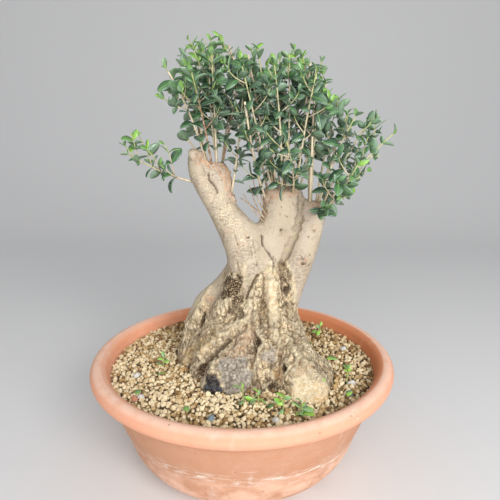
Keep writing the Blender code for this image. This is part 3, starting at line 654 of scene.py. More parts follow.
def smooth_bark_colour(tree, place, trunk):
    """Pale young bark with browner clouds, small pits, fine wrinkles and tiny cracks. Returns its colour and pits."""
    along = stretched(tree, place, (1.0, 1.0, 0.34))
    clouds = use_group(tree, patches_group(), {"Vector": along, "Scale": 42.0, "Cover": 0.46, "Softness": 0.16})["Mask"]
    colour = mixed(tree, maths(tree, "MULTIPLY", clouds, 0.55), trunk.smooth_bark, trunk.smooth_shade)
    tints = use_group(tree, patches_group(), {"Vector": along, "Scale": 19.0, "Cover": 0.5, "Softness": 0.12})["Mask"]
    colour = mixed(tree, maths(tree, "MULTIPLY", tints, 0.22), colour, trunk.algae_and_shade)
    streaks = noise_value(tree, stretched(tree, place, (1.6, 1.6, 0.3)), 150.0, 5.0, 0.7, 0.3)
    colour = mixed(tree, mapped(tree, streaks, 0.52, 0.66, 0.0, 0.4), colour, trunk.smooth_shade)
    speckle = noise_value(tree, place, 520.0, 3.0, 0.7)
    colour = mixed(tree, mapped(tree, speckle, 0.52, 0.64, 0.0, 0.65), colour, trunk.smooth_shade)
    freckles = noise_value(tree, place, 900.0, 2.0, 0.6)
    colour = mixed(tree, mapped(tree, freckles, 0.60, 0.70, 0.0, 0.45), colour, trunk.callus)
    wrinkles = use_group(tree, fissures_group(), {
        "Vector": stretched(tree, place, (0.6, 0.6, 1.5)), "Scale": 190.0, "Width": 0.022, "Wander": 0.3})["Mask"]
    some = mapped(tree, noise_value(tree, place, 26.0, 2.0), 0.40, 0.60)
    wrinkles = maths(tree, "MULTIPLY", wrinkles, some)
    colour = mixed(tree, maths(tree, "MULTIPLY", wrinkles, 0.42), colour, trunk.old_shade)
    pits = use_group(tree, specks_group(), {
        "Vector": stretched(tree, place, (1.0, 1.0, 0.7)), "Scale": 170.0, "Size": 0.24})["Mask"]
    few = mapped(tree, noise_value(tree, place, 46.0, 2.0), 0.46, 0.58)
    pits = maths(tree, "MULTIPLY", pits, few)
    colour = mixed(tree, maths(tree, "MULTIPLY", pits, 0.62), colour, trunk.old_shade)
    return colour, maths(tree, "ADD", pits, wrinkles)


def old_bark_colour(tree, place, trunk):
    """Old bark: cream flakes, tan plates and thin dark fissures of two sizes. Returns its colour and its fissures."""
    grain = noise_value(tree, stretched(tree, place, (1.0, 1.0, 0.35)), 95.0, 6.0, 0.68, 0.5)
    flakes = noise_value(tree, stretched(tree, place, (1.0, 1.0, 0.6)), 330.0, 5.0, 0.75)
    colour = mixed(tree, mapped(tree, grain, 0.36, 0.52), trunk.smooth_shade, trunk.old_bark)
    colour = mixed(tree, mapped(tree, flakes, 0.46, 0.60, 0.0, 0.85), colour, trunk.cream)
    brown = noise_value(tree, stretched(tree, place, (1.0, 1.0, 0.6)), 55.0, 5.0, 0.65)
    colour = mixed(tree, mapped(tree, brown, 0.54, 0.70, 0.0, 0.55), colour, tuple(c * 0.45 for c in trunk.old_bark))
    wide = use_group(tree, fissures_group(), {
        "Vector": stretched(tree, place, (1.0, 1.0, 0.38)), "Scale": 85.0, "Width": 0.03, "Wander": 0.8})["Mask"]
    thin = use_group(tree, fissures_group(), {
        "Vector": stretched(tree, place, (1.0, 1.0, 0.6)), "Scale": 300.0, "Width": 0.045, "Wander": 0.6})["Mask"]
    lines = maths(tree, "MAXIMUM", wide, maths(tree, "MULTIPLY", thin, 0.8))
    colour = mixed(tree, maths(tree, "MULTIPLY", lines, 0.75), colour, trunk.old_shade)
    pores = noise_value(tree, place, 480.0, 3.0, 0.7)
    colour = mixed(tree, mapped(tree, pores, 0.56, 0.66, 0.0, 0.75), colour, trunk.old_shade)
    return colour, lines


def bark_material(trunk):
    """Pale smooth bark above, fissured bark below, and the wood of cuts, calluses, rot and char between, with painted
    shade in hollows, cracks and holes and painted highlight on ridges.
    """
    made, tree, shader = new_material("bark")
    place = place_of(tree)
    smooth, smooth_pits = smooth_bark_colour(tree, place, trunk)
    old, old_lines = old_bark_colour(tree, place, trunk)
    rough = attribute(tree, "rough")
    colour = mixed(tree, rough, smooth, old)
    flakes = noise_value(tree, place, 240.0, 5.0, 0.7)
    spots = noise_value(tree, place, 600.0, 3.0, 0.7)
    hollow = attribute(tree, "hollow")
    # Painted shade and highlight: the bark darkens in its hollows, partly dirt and partly painted shade, and turns
    # cream on its ridges, partly weathering and partly painted highlight.
    hollow_dirt_and_shade = maths(tree, "MULTIPLY", mapped(tree, hollow, 0.60, 0.98, 0.0, 0.44), mapped(tree, rough, 0.0, 1.0, 0.35, 1.0))
    colour = mixed(tree, hollow_dirt_and_shade, colour, trunk.old_shade)
    ridge_wear_and_highlight = maths(tree, "MULTIPLY", mapped(tree, hollow, 0.46, 0.15, 0.0, 0.6), rough)
    colour = mixed(tree, ridge_wear_and_highlight, colour, trunk.cream)

    worn = mixed(tree, mapped(tree, spots, 0.47, 0.58), trunk.smooth_shade, trunk.cream)
    worn = mixed(tree, mapped(tree, spots, 0.40, 0.34, 0.0, 0.6), worn, trunk.weathered)
    worn = mixed(tree, mapped(tree, flakes, 0.50, 0.62, 0.0, 0.5), worn, trunk.callus)
    colour = mixed(tree, maths(tree, "MULTIPLY", attribute(tree, "worn"), 0.5), colour, worn)
    cream = mixed(tree, mapped(tree, flakes, 0.42, 0.56, 0.55, 0.0), trunk.cream, trunk.ochre)
    cream = mixed(tree, mapped(tree, spots, 0.58, 0.66, 0.0, 0.65), cream, trunk.old_shade)
    colour = mixed(tree, maths(tree, "MULTIPLY", attribute(tree, "cream"), 0.92), colour, cream)
    yellow = mixed(tree, mapped(tree, flakes, 0.42, 0.60, 0.0, 0.5), trunk.ochre, trunk.cream)
    colour = mixed(tree, maths(tree, "MULTIPLY", attribute(tree, "ochre"), 0.8), colour, yellow)
    callus = mixed(tree, mapped(tree, flakes, 0.42, 0.62), trunk.callus, trunk.smooth_bark)
    callus = mixed(tree, mapped(tree, spots, 0.56, 0.66, 0.0, 0.55), callus, trunk.old_shade)
    colour = mixed(tree, maths(tree, "MULTIPLY", attribute(tree, "callus"), 0.85), colour, callus)
    # Yellow-green on the shaded edges and in the groove: partly algae, partly painted shade.
    colour = mixed(tree, maths(tree, "MULTIPLY", attribute(tree, "green"), 0.8), colour, trunk.algae_and_shade)
    rings = noise_value(tree, stretched(tree, place, (1.0, 1.6, 1.0)), 230.0, 6.0, 0.75, 0.3)
    dim, bright = tuple(c * 0.72 for c in trunk.weathered), tuple(min(1, c * 1.4) for c in trunk.weathered)
    grey = mixed(tree, mapped(tree, rings, 0.42, 0.58), dim, bright)
    grey = mixed(tree, mapped(tree, spots, 0.56, 0.68, 0.0, 0.4), grey, trunk.old_bark)
    colour = mixed(tree, attribute(tree, "grey"), colour, grey)
    rotten = mixed(tree, mapped(tree, spots, 0.49, 0.62, 0.0, 0.9), trunk.dead, trunk.old_bark)
    colour = mixed(tree, attribute(tree, "dark"), colour, rotten)
    blocks = noise_value(tree, place, 150.0, 5.0)
    # The char is black with paler bluish-grey blocks: partly charcoal's own grey, partly painted sheen.
    coal = mixed(tree, mapped(tree, blocks, 0.46, 0.64), trunk.charred, (0.10, 0.115, 0.135))
    coal = mixed(tree, mapped(tree, spots, 0.58, 0.70, 0.0, 0.55), coal, trunk.callus)
    char = attribute(tree, "char")
    colour = mixed(tree, char, colour, coal)
    # Fissures, cracks and holes are painted dark with crumbly wood: partly dirt and rot, partly painted shade in them.
    crumbs = mixed(tree, mapped(tree, spots, 0.54, 0.66, 0.0, 0.5), trunk.dead, trunk.old_bark)
    colour = mixed(tree, attribute(tree, "crevice_dirt_and_shade"), colour, crumbs)

    depth = maths(tree, "ADD", maths(tree, "MULTIPLY", smooth_pits, -1.0), maths(tree, "MULTIPLY", flakes, 0.9))
    old_depth = maths(tree, "ADD", maths(tree, "MULTIPLY", old_lines, -2.6), maths(tree, "MULTIPLY", flakes, 3.2))
    blend = shader_node(tree, "ShaderNodeMix", {0: rough, 2: depth, 3: old_depth}).outputs[0]
    relief = use_group(tree, relief_group(), {"Vector": place, "Scale": 320.0, "Strength": 0.7, "Distance": 0.0011, "Extra height": blend})
    tree.links.new(colour, shader.inputs["Base Color"])
    tree.links.new(relief["Normal"], shader.inputs["Normal"])
    tree.links.new(mapped(tree, char, 0.0, 1.0, 0.8, 0.42), shader.inputs["Roughness"])
    shader.inputs["Specular IOR Level"].default_value = 0.35
    return made


def leaf_material(name, crown, bright=1.0):
    """Glossy leaf: its age gives its green, with a pale rib, faint veins, patches of painted sheen and a paler
    grey-blue underside that is partly painted sheen.
    """
    made, tree, shader = new_material(name)
    place = place_of(tree)
    young = tuple(min(1, c * bright) for c in crown.young_leaf)
    age = attribute(tree, "youth")
    tone = attribute(tree, "tone")
    colour = mixed(tree, mapped(tree, age, 0.05, 0.5), crown.old_leaf, crown.mid_leaf)
    colour = mixed(tree, mapped(tree, age, 0.45, 1.0), colour, young)
    colour = mixed(tree, mapped(tree, tone, 0.0, 1.0, 0.0, 0.42 / bright**2), colour, crown.mid_leaf)
    # Painted sheen: pale grey-blue patches on the leaf's upper side.
    sheen_blotches = noise_value(tree, place, 260.0, 3.0)
    colour = mixed(tree, mapped(tree, sheen_blotches, 0.45, 0.7, 0.0, 0.22), colour, crown.underside_and_sheen)
    along, across = attribute(tree, "along"), attribute(tree, "across")
    beside = maths(tree, "ABSOLUTE", across)
    rib = mapped(tree, beside, 0.10, 0.03)
    vein_way = maths(tree, "SUBTRACT", maths(tree, "MULTIPLY", along, 7.0), maths(tree, "MULTIPLY", beside, 3.4))
    vein = mapped(tree, maths(tree, "ABSOLUTE", maths(tree, "SUBTRACT", maths(tree, "FRACT", vein_way), 0.5)), 0.10, 0.02)
    lines = maths(tree, "MAXIMUM", rib, maths(tree, "MULTIPLY", vein, 0.35))
    colour = mixed(tree, maths(tree, "MULTIPLY", lines, 0.45), colour, young)
    colour = mixed(tree, maths(tree, "MULTIPLY", attribute(tree, "under"), 0.8), colour, crown.underside_and_sheen)
    relief = use_group(tree, relief_group(), {
        "Vector": place, "Scale": 380.0, "Strength": 0.3, "Distance": 0.0004, "Extra height": maths(tree, "MULTIPLY", lines, -1.4)})
    tree.links.new(colour, shader.inputs["Base Color"])
    tree.links.new(relief["Normal"], shader.inputs["Normal"])
    tree.links.new(mapped(tree, tone, 0.0, 1.0, 0.20, 0.38), shader.inputs["Roughness"])
    shader.inputs["Specular IOR Level"].default_value = 0.7
    return made


def shoot_wood_material(name, crown):
    """Bark of the young shoots, from green at the tips to tan or brown at the foot."""
    made, tree, shader = new_material(name)
    place = place_of(tree)
    wood = mixed(tree, mapped(tree, attribute(tree, "tone"), 0.3, 0.75), crown.red_wood, crown.wood)
    speckle = noise_value(tree, stretched(tree, place, (1.0, 1.0, 0.4)), 420.0, 4.0)
    wood = mixed(tree, mapped(tree, speckle, 0.45, 0.7, 0.0, 0.5), wood, tuple(min(1, c * 1.5) for c in crown.wood))
    colour = mixed(tree, mapped(tree, attribute(tree, "youth"), 0.35, 0.95), wood, crown.green_wood)
    relief = use_group(tree, relief_group(), {"Vector": place, "Scale": 520.0, "Strength": 0.5, "Distance": 0.0005})
    tree.links.new(colour, shader.inputs["Base Color"])
    tree.links.new(relief["Normal"], shader.inputs["Normal"])
    shader.inputs["Roughness"].default_value = 0.7
    return made


def floor_material(stage):
    """Plain pale paper."""
    made, tree, shader = new_material("pale_floor")
    tooth = noise_value(tree, place_of(tree), 3.0, 3.0)
    colour = mixed(tree, mapped(tree, tooth, 0.3, 0.7, 0.0, 0.06), stage.floor, (0.8, 0.79, 0.78))
    tree.links.new(colour, shader.inputs["Base Color"])
    shader.inputs["Roughness"].default_value = 0.9
    return made


# The bowl


def bowl_profile():
    """The bowl's section as radius and height, from the floor's middle over the rim to the foot's middle."""
    outside = curved(WALL_PROFILE, 5)
    inside = [(radius - WALL, height) for radius, height in WALL_PROFILE[:-2]]
    corner = (WALL_PROFILE[-2][0] - WALL, WALL_PROFILE[-2][1] + 0.006)
    inner = curved([(BASE_RADIUS, FLOOR), corner, *reversed(inside)], 4)
    middle = RIM_RADIUS - ROLL_WIDTH / 2
    roll = []
    for step in range(22):
        angle = math.radians(180 - step * 266 / 21)
        roll.append((middle + ROLL_WIDTH / 2 * math.cos(angle), RIM_LEVEL + ROLL_HEIGHT / 2 * math.sin(angle)))
    return [(0, FLOOR), (0.06, FLOOR), *inner, *roll, *outside, (0.06, 0), (0, 0)]


def build_bowl(bowl):
    bm = bmesh.new()
    verts = [bm.verts.new((radius, 0, height)) for radius, height in bowl_profile()]
    edges = [bm.edges.new(pair) for pair in zip(verts, verts[1:])]
    bmesh.ops.spin(
        bm, geom=[*verts, *edges], cent=(0, 0, 0), axis=(0, 0, 1), dvec=(0, 0, 0), angle=TURN, steps=bowl.steps, use_merge=True
    )
    bmesh.ops.remove_doubles(bm, verts=bm.verts, dist=0.02 * MM)
    bmesh.ops.recalc_face_normals(bm, faces=bm.faces)
    for vert in bm.verts:
        if vert.co.z > 0.5 * MM:
            outward = Vector((vert.co.x, vert.co.y, 0)).normalized()
            stray = noise.noise(outward * 1.7 + Vector((0, 0, vert.co.z * 8)))
            vert.co += outward * bowl.wobble * stray
    mesh = mesh_from(bm, "bowl")
    drills = bpy.data.collections.new("drills")
    for number in range(3):
        angle = TURN * (number + 0.25) / 3
        middle = Matrix.Translation((DRAIN_REACH * math.cos(angle), DRAIN_REACH * math.sin(angle), FLOOR / 2))
        drill = bmesh.new()
        bmesh.ops.create_cone(drill, cap_ends=True, segments=24, radius1=DRAIN_RADIUS, radius2=DRAIN_RADIUS, depth=FLOOR * 3, matrix=middle)
        drills.objects.link(bpy.data.objects.new("drill", mesh_from(drill, "drill")))
    bored = with_modifiers(mesh, ("BOOLEAN", {"operation": "DIFFERENCE", "operand_type": "COLLECTION", "collection": drills}))
    for drill in list(drills.objects):
        bpy.data.objects.remove(drill)
    bpy.data.collections.remove(drills)
    bored.shade_smooth()
    bored.set_sharp_from_angle(angle=math.radians(50))
    new_piece("terracotta_bowl", bored, [terracotta_material(bowl)], ["bowl"])


# The grit


def stone_mesh(draw, sides, flatness):
    """One broken grain or pebble, its longest half about 1."""
    bm = bmesh.new()
    bmesh.ops.create_icosphere(bm, subdivisions=sides, radius=1.0)
    shift = Vector((draw.uniform(0, 50), draw.uniform(0, 50), draw.uniform(0, 50)))
    for vert in bm.verts:
        bulge = 1 + 0.5 * noise.noise(vert.co * 1.3 + shift)
        vert.co = Vector((vert.co.x, vert.co.y * 0.82, vert.co.z * flatness)) * bulge
    mesh = bpy.data.meshes.new("stone")
    bm.to_mesh(mesh)
    bm.free()
    return mesh


class Heap:
    """Many copies of small shapes gathered in one mesh, with numbers for each copy's vertices."""

    def __init__(self):
        self.bm = bmesh.new()
        self.numbers = {}

    def add(self, shape, place, **numbers):
        copy = shape.copy()
        copy.transform(place)
        self.bm.from_mesh(copy)
        bpy.data.meshes.remove(copy)
        for name, value in numbers.items():
            values = value if hasattr(value, "__len__") else [value] * len(shape.vertices)
            self.numbers.setdefault(name, []).extend(values)

    def mesh(self, name):
        made = mesh_from(self.bm, name)
        for number, values in self.numbers.items():
            set_attribute(made, number, values)
        return made


def random_turn(draw):
    return Matrix.Rotation(draw.uniform(0, TURN), 4, "Z") @ Matrix.Rotation(draw.uniform(0, TURN), 4, "X") @ Matrix.Rotation(draw.uniform(0, TURN), 4, "Y")


def soil_point(soil_tree, x, y):
    """The soil's surface at a place, or None over the trunk's hole and the bowl's wall."""
    hit = soil_tree.ray_cast(Vector((x, y, RIM_LEVEL + 0.05)), -UP)[0]
    return hit if hit and hit.z > RIM_LEVEL - 0.03 else None


def ground_point(trees, x, y):
    """The highest of several surfaces at a place just above the grit."""
    hits = [tree.ray_cast(Vector((x, y, RIM_LEVEL + 0.02)), -UP)[0] for tree in trees]
    return max((hit for hit in hits if hit), key=lambda hit: hit.z)


def build_grit(grit):
    draw = random.Random(grit.seed)
    soil_tree = tree_of(merged_copy("soil"))
    trunk_tree = tree_of(merged_copy("trunk"))
    shapes = [stone_mesh(draw, 1, draw.uniform(0.62, 0.9)) for _ in range(9)]
    heap = Heap()
    reach = RIM_RADIUS - ROLL_WIDTH
    row_gap = grit.spacing * math.sqrt(3) / 2
    rows = int(reach / row_gap)
    for row in range(-rows, rows + 1):
        columns = int(reach / grit.spacing)
        for column in range(-columns, columns + 1):
            x = (column + 0.5 * (row % 2)) * grit.spacing + draw.uniform(-0.42, 0.42) * grit.spacing
            y = row * row_gap + draw.uniform(-0.42, 0.42) * grit.spacing
            radius = math.hypot(x, y)
            if radius > reach - 0.002:
                continue
            ground = soil_point(soil_tree, x, y)
            if ground is None:
                ground = Vector((x, y, RIM_LEVEL - 0.0085))
            place = ground + UP * draw.uniform(-0.4, 2.0) * MM
            near, normal, _, far = trunk_tree.find_nearest(place)
            if near is not None and ((place - near).dot(normal) < -0.6 * MM):
                continue
            size = grit.smallest + (grit.largest - grit.smallest) * draw.random() ** 1.7
            turn = random_turn(draw)
            bright = 0.6 - 1.1 * y - 0.5 * x + 0.28 * noise.noise(Vector((x * 24, y * 24, 0)))
            tone = min(1.0, max(0.0, draw.gauss(bright, 0.29)))
            heap.add(draw.choice(shapes), Matrix.Translation(place) @ turn @ Matrix.Scale(size, 4), tone=tone)
    for shape in shapes:
        bpy.data.meshes.remove(shape)
    mesh = heap.mesh("grit")
    mesh.shade_flat()
    new_piece("grit", mesh, [grain_material("grit", grit)])
    slots = frame["nodes"]["soil"].material_slots
    if not slots:
        raise RuntimeError("the soil has no material slot")
    slots[0].material = earth_material(grit)


def build_litter(grit, crown):
    """Pebbles and fallen leaves on the grit."""
    draw = random.Random(grit.seed + 1)
    trees = [tree_of(merged_copy("soil")), tree_of(merged_copy("trunk"))]
    tones = {"pale": 1.0, "blue": 0.0, "clay": 0.4}
    pebbles = Heap()
    shape = stone_mesh(draw, 2, 0.62)
    for x, y, half, kind in PEBBLES:
        ground = ground_point(trees, x * MM, y * MM)
        place = Matrix.Translation(ground + UP * 2.6 * MM) @ Matrix.Rotation(draw.uniform(0, TURN), 4, "Z") @ Matrix.Scale(half * MM, 4)
        pebbles.add(shape, place, tone=tones[kind])
    stones = ((0.20, 0.25, 0.28), (0.55, 0.24, 0.13), (0.66, 0.64, 0.58))
    new_piece("pebbles", pebbles.mesh("pebbles"), [grain_material("pebbles", grit, stones)])
    bpy.data.meshes.remove(shape)

    leaves = Heap()
    leaf = leaf_shape(0.15, 0.1)
    for x, y, degrees, length in FALLEN_LEAVES:
        ground = ground_point(trees, x * MM, y * MM)
        tilt = Matrix.Rotation(draw.uniform(-0.3, 0.3), 4, "X") @ Matrix.Rotation(draw.uniform(-0.2, 0.2), 4, "Y")
        size = Matrix.Diagonal((length * MM, length * 0.6 * MM, length * MM, 1))
        place = Matrix.Translation(ground + UP * 4.4 * MM) @ Matrix.Rotation(math.radians(degrees), 4, "Z") @ tilt @ size
        leaves.add(leaf, place, **leaf_numbers(leaf, draw.uniform(0.55, 1.0), draw.uniform(0.0, 0.5)))
    new_piece("fallen_leaves", leaves.mesh("fallen_leaves"), [leaf_material("fallen_leaf", crown, 1.3)])
    bpy.data.meshes.remove(leaf)


# The trunk


def on_skin(tree, x, y, height):
    """Where the photograph's line of sight through a place in mm meets the skin, or else the skin's nearest point."""
    camera = Vector(CAMERA_PLACE)
    place = Vector((x * MM, y * MM, RIM_LEVEL + height * MM))
    met = tree.ray_cast(camera, (place - camera).normalized())[0]
    return np.array(met or tree.find_nearest(place)[0])


def near_spots(tree, places, spots, wander):
    """How strongly each place lies in one of the spots, with edges that wander."""
    mask = np.zeros(len(places))
    for x, y, height, reach, strength in spots:
        far = np.linalg.norm(places - on_skin(tree, x, y, height), axis=1) / (reach * MM) + wander
        mask = np.maximum(mask, strength * (1 - smoothstep(0.74, 1.1, far)))
    return mask


def near_line(tree, places, points, half_width, wander):
    """How strongly each place lies on a line over the bark."""
    mask = np.zeros(len(places))
    route = [on_skin(tree, *point) for point in curved(points, 6)]
    for start, end in zip(route, route[1:]):
        step = end - start
        along = np.clip((places - start) @ step / max(step @ step, 1e-12), 0, 1)
        far = np.linalg.norm(places - start - along[:, None] * step, axis=1)
        width = half_width * MM * np.maximum(0.25, 1 + 1.2 * wander)
        mask = np.maximum(mask, 1 - smoothstep(0.2, 1.0, far / width))
    return mask


def trunk_skin(trunk):
    """The trunk's skin: the solid's shape rounded and cut into small even faces."""
    skin = with_modifiers(
        merged_copy("trunk"),
        ("SUBSURF", {"levels": 2, "render_levels": 2}),
        ("REMESH", {"mode": "VOXEL", "voxel_size": trunk.cell}),
        ("SMOOTH", {"factor": 0.5, "iterations": 3}),
    )
    return skin


def line_of_zero(way, width):
    """1 along the thin winding lines where a noise passes through zero, and 0 away from them."""
    return max(0.0, 1 - abs(noise.noise(way)) / width)


def bark_heights(places, trunk, rough):
    """How far the bark stands out at each place, in metres, and how deep its fissures are from 0 to 1."""
    stand = np.zeros(len(places))
    furrow = np.zeros(len(places))
    for index, (x, y, z) in enumerate(places):
        swell = noise.noise(Vector((x * 34, y * 34, z * 20)))
        if rough[index] > 0.02:
            warp = noise.noise_vector(Vector((x * 42, y * 42, z * 24))) * 0.6
            fissure = line_of_zero(Vector((x * 112, y * 112, z * 54)) + warp, 0.11)
            crack = line_of_zero(Vector((x * 225, y * 225, z * 115)) + warp * 2, 0.17)
            crumb = noise.fractal(Vector((x * 270, y * 270, z * 180)), 0.7, 2.1, 3)
            furrow[index] = rough[index] * max(0.8 * fissure, 0.5 * crack)
            stand[index] = rough[index] * trunk.fissures * (0.42 * swell + 0.34 * crumb - 0.36 * fissure - 0.24 * crack)
        stand[index] += (1 - rough[index]) * 0.9 * MM * swell
    return stand, furrow


def hollowness(mesh, places, normals, rounds):
    """How deep each vertex lies under the skin smoothed by so many rounds, in mm, and below 0 where it stands out."""
    ends = np.empty(len(mesh.edges) * 2, np.int32)
    mesh.edges.foreach_get("vertices", ends)
    first, second = ends.reshape(-1, 2).T
    counts = np.bincount(ends, minlength=len(places))[:, None]
    smooth = places.copy()
    for _ in range(rounds):
        total = np.zeros_like(smooth)
        for axis in range(3):
            total[:, axis] = np.bincount(first, smooth[second, axis], len(places))
            total[:, axis] += np.bincount(second, smooth[first, axis], len(places))
        smooth = total / counts
    return np.einsum("ij,ij->i", smooth - places, normals) / MM


def build_trunk(trunk):
    mesh = trunk_skin(trunk)
    tree = tree_of(mesh)
    places = vertex_places(mesh)
    normals = np.empty(len(mesh.vertices) * 3, np.float32)
    mesh.vertex_normals.foreach_get("vector", normals)
    normals = normals.reshape(-1, 3).astype(float)
    wander = np.array([noise.fractal(Vector(p) * 120, 0.7, 2.1, 4) for p in places]) * 0.5
    lumps = np.array([noise.noise(Vector(p) * 150) for p in places])
    crumbs = np.array([noise.noise(Vector(p) * 330) for p in places])
    height = (places[:, 2] - RIM_LEVEL) / MM
    masks = {name: near_spots(tree, places, spots, wander) for name, spots in MARKS.items()}
    edge = np.interp(places[:, 0] / MM, *zip(*ROUGH_EDGE))
    flank = smoothstep(-30, -20, places[:, 1] / MM) * (1 - smoothstep(-32, -20, places[:, 0] / MM))
    edge += flank * (np.minimum(edge, FLANK_EDGE) - edge)
    masks["rough"] = 1 - smoothstep(-5, 6, height - edge + 14 * wander)
    masks["rough"] *= 1 - 0.8 * masks["cream"]
    stand, crevice_dirt_and_shade = bark_heights(places, trunk, masks["rough"])
    stand += 2.6 * MM * masks["callus"] * lumps
    sawn = np.maximum(masks["grey"], masks["char"])
    stand *= 1 - 0.8 * sawn
    for points, half_width, rise in RIDGES:
        ridge = near_line(tree, places, points, half_width, wander) * (1 - sawn)
        stand += rise * MM * ridge
        # Raised ridges are painted cream: partly pale weathered bark, partly painted highlight.
        masks["cream"] = np.maximum(masks["cream"], 0.55 * ridge * (1 - masks["dark"]))
    for points, half_width, depth, darkness in CRACKS:
        cut = near_line(tree, places, points, half_width, wander)
        stand -= depth * MM * cut
        crevice_dirt_and_shade = np.maximum(crevice_dirt_and_shade, darkness * cut)
    for x, y, z, reach, depth in PITS:
        hole = near_spots(tree, places, ((x, y, z, reach, 1.0),), wander)
        stand -= depth * MM * hole
        crevice_dirt_and_shade = np.maximum(crevice_dirt_and_shade, hole)
    for x, y, z, reach, rise in LUMPS:
        stand += rise * MM * near_spots(tree, places, ((x, y, z, reach, 1.0),), wander * 0.4)
    stand += 0.5 * MM * masks["worn"] * crumbs
    stand -= 1.6 * MM * masks["dark"] * (1 + lumps)
    block_way = [noise.voronoi(Vector(p) * 120)[0] if c > 0.05 else (0, 1) for p, c in zip(places, masks["char"])]
    block_edge = np.array([1 - min(1.0, (d[1] - d[0]) / 0.16) for d in block_way])
    stand -= 2.2 * MM * masks["char"] * block_edge
    places += normals * stand[:, None]
    mesh.vertices.foreach_set("co", places.astype(np.float32).ravel())
    mesh.update()
    mesh.shade_smooth()
    for name, mask in masks.items():
        set_attribute(mesh, name, mask)
    # Darkness for fissures, cracks and holes: partly dirt, partly painted shade.
    set_attribute(mesh, "crevice_dirt_and_shade", np.clip(crevice_dirt_and_shade * 0.85, 0, 1))
    # How hollow each place is. The bark paints shade in the hollows and highlight on the ridges from it.
    set_attribute(mesh, "hollow", np.clip(0.5 + 0.26 * (1 - sawn) * hollowness(mesh, places, normals, 28), 0, 1))
    new_piece("trunk_and_roots", mesh, [bark_material(trunk)], ["trunk"])


# Leaves and shoots


def leaf_shape(curl, fold):
    """One leaf of length and width 1: base at the origin, tip along +X, folded at its rib and curled down."""
    bm = bmesh.new()
    bmesh.ops.create_grid(bm, x_segments=7, y_segments=2, size=0.5)
    for vert in bm.verts:
        along = 0.5 - 0.5 * math.cos(math.pi * (vert.co.x + 0.5))
        half = max(0.0, math.sin(math.pi * along)) ** 0.54
        half *= 0.4 + 0.6 * min(1.0, along / 0.22)
        across = vert.co.y * 2 * half
        arch = 0.14 * along - curl * along**2
        vert.co = (along, across * 0.5, arch + fold * abs(across))
    bmesh.ops.remove_doubles(bm, verts=bm.verts, dist=0.001)
    bmesh.ops.recalc_face_normals(bm, faces=bm.faces)
    if sum(face.normal.z for face in bm.faces) < 0:
        bmesh.ops.reverse_faces(bm, faces=bm.faces)
    bmesh.ops.solidify(bm, geom=bm.faces[:], thickness=0.03)
    bmesh.ops.recalc_face_normals(bm, faces=bm.faces)
    mesh = bpy.data.meshes.new("leaf")
    bm.to_mesh(mesh)
    bm.free()
    return mesh


def leaf_numbers(leaf, youth, tone):
    """What a leaf's material reads: where each vertex lies on the leaf, its side, and the leaf's age and tone."""
    places = vertex_places(leaf)
    middle = len(places) // 2
    under = np.zeros(len(places))
    lower = 0 if places[:middle, 2].mean() < places[middle:, 2].mean() else 1
    under[lower * middle:(lower + 1) * middle] = 1
    return {"along": places[:, 0], "across": places[:, 1] * 2, "under": under, "youth": youth, "tone": tone}


def leaf_place(root, axis, upper, length, width):
    """Sets a leaf's base at root, its rib along axis and its upper side towards upper."""
    side = upper.cross(axis).normalized()
    face = axis.cross(side)
    turn = Matrix((axis, side, face)).transposed().to_4x4()
    return Matrix.Translation(root) @ turn @ Matrix.Diagonal((length, width, length, 1))


def crown_height(x, y):
    """The crown's top above the rim level, in mm: as from the front, and lower towards the front and the back."""
    top = float(np.interp(x, *zip(*CROWN_TOP)))
    return CROWN_BASE + (top - CROWN_BASE) * max(0.04, 1 - abs(y / CROWN_DEPTH) ** 2.5) ** 0.4


def sight_point(place):
    """Where the photograph's line of sight to a place meets the plane through the trunk: x and height in mm."""
    camera = Vector(CAMERA_PLACE)
    share = -camera.y / (place.y - camera.y)
    met = camera + (place - camera) * share
    return met.x / MM, (met.z - RIM_LEVEL) / MM


def outline_depth(place, outline=CROWN_OUTLINE):
    """How far inside the crown's front outline a place lies, in mm, and below 0 outside it."""
    x, height = sight_point(place)
    inside = False
    nearest = math.inf
    for (x0, h0), (x1, h1) in zip(outline, (*outline[1:], outline[0])):
        if (h0 > height) != (h1 > height) and x < x0 + (height - h0) * (x1 - x0) / (h1 - h0):
            inside = not inside
        along = ((x - x0) * (x1 - x0) + (height - h0) * (h1 - h0)) / ((x1 - x0) ** 2 + (h1 - h0) ** 2)
        along = min(1.0, max(0.0, along))
        nearest = min(nearest, math.hypot(x - x0 - along * (x1 - x0), height - h0 - along * (h1 - h0)))
    return nearest if inside else -nearest


def shoot_bends(trunk_tree):
    """Root, elbow and tip of every shoot, by the same rule as the solids."""
    draw = random.Random(11)
    bends = []
    for root_middle, root_half, tip_middle, tip_half, count in STUMPS.values():
        for number in range(count):
            turn = GOLDEN_ANGLE * number + 0.4
            reach = math.sqrt((number + 0.5) / count)
            across, along = reach * math.cos(turn), reach * math.sin(turn)
            x, y = root_middle[0] + root_half[0] * across, root_middle[1] + root_half[1] * along
            root = trunk_tree.find_nearest(Vector((x * MM, y * MM, RIM_LEVEL + root_middle[2] * MM)))[0]
            x, y = tip_middle[0] + tip_half[0] * across, tip_middle[1] + tip_half[1] * along
            tip = Vector((x * MM, y * MM, RIM_LEVEL + crown_height(x, y) * draw.uniform(0.93, 1.02) * MM))
            elbow = root.lerp(tip, 0.5) + Vector((draw.uniform(-4, 4), draw.uniform(-4, 4), 12)) * MM
            bends.append((root, elbow, tip))
    for points in LONE_SHOOTS:
        start, elbow, tip = (Vector((x * MM, y * MM, RIM_LEVEL + z * MM)) for x, y, z in points)
        bends.append((trunk_tree.find_nearest(start)[0], elbow, tip))
    return bends


def bend_point(bend, t):
    start, elbow, tip = bend
    return start * (1 - t) ** 2 + elbow * 2 * t * (1 - t) + tip * t**2


def bend_way(bend, t):
    start, elbow, tip = bend
    return ((elbow - start) * (1 - t) + (tip - elbow) * t).normalized()


def bend_length(bend, steps=12):
    points = [bend_point(bend, step / steps) for step in range(steps + 1)]
    return sum((b - a).length for a, b in zip(points, points[1:]))


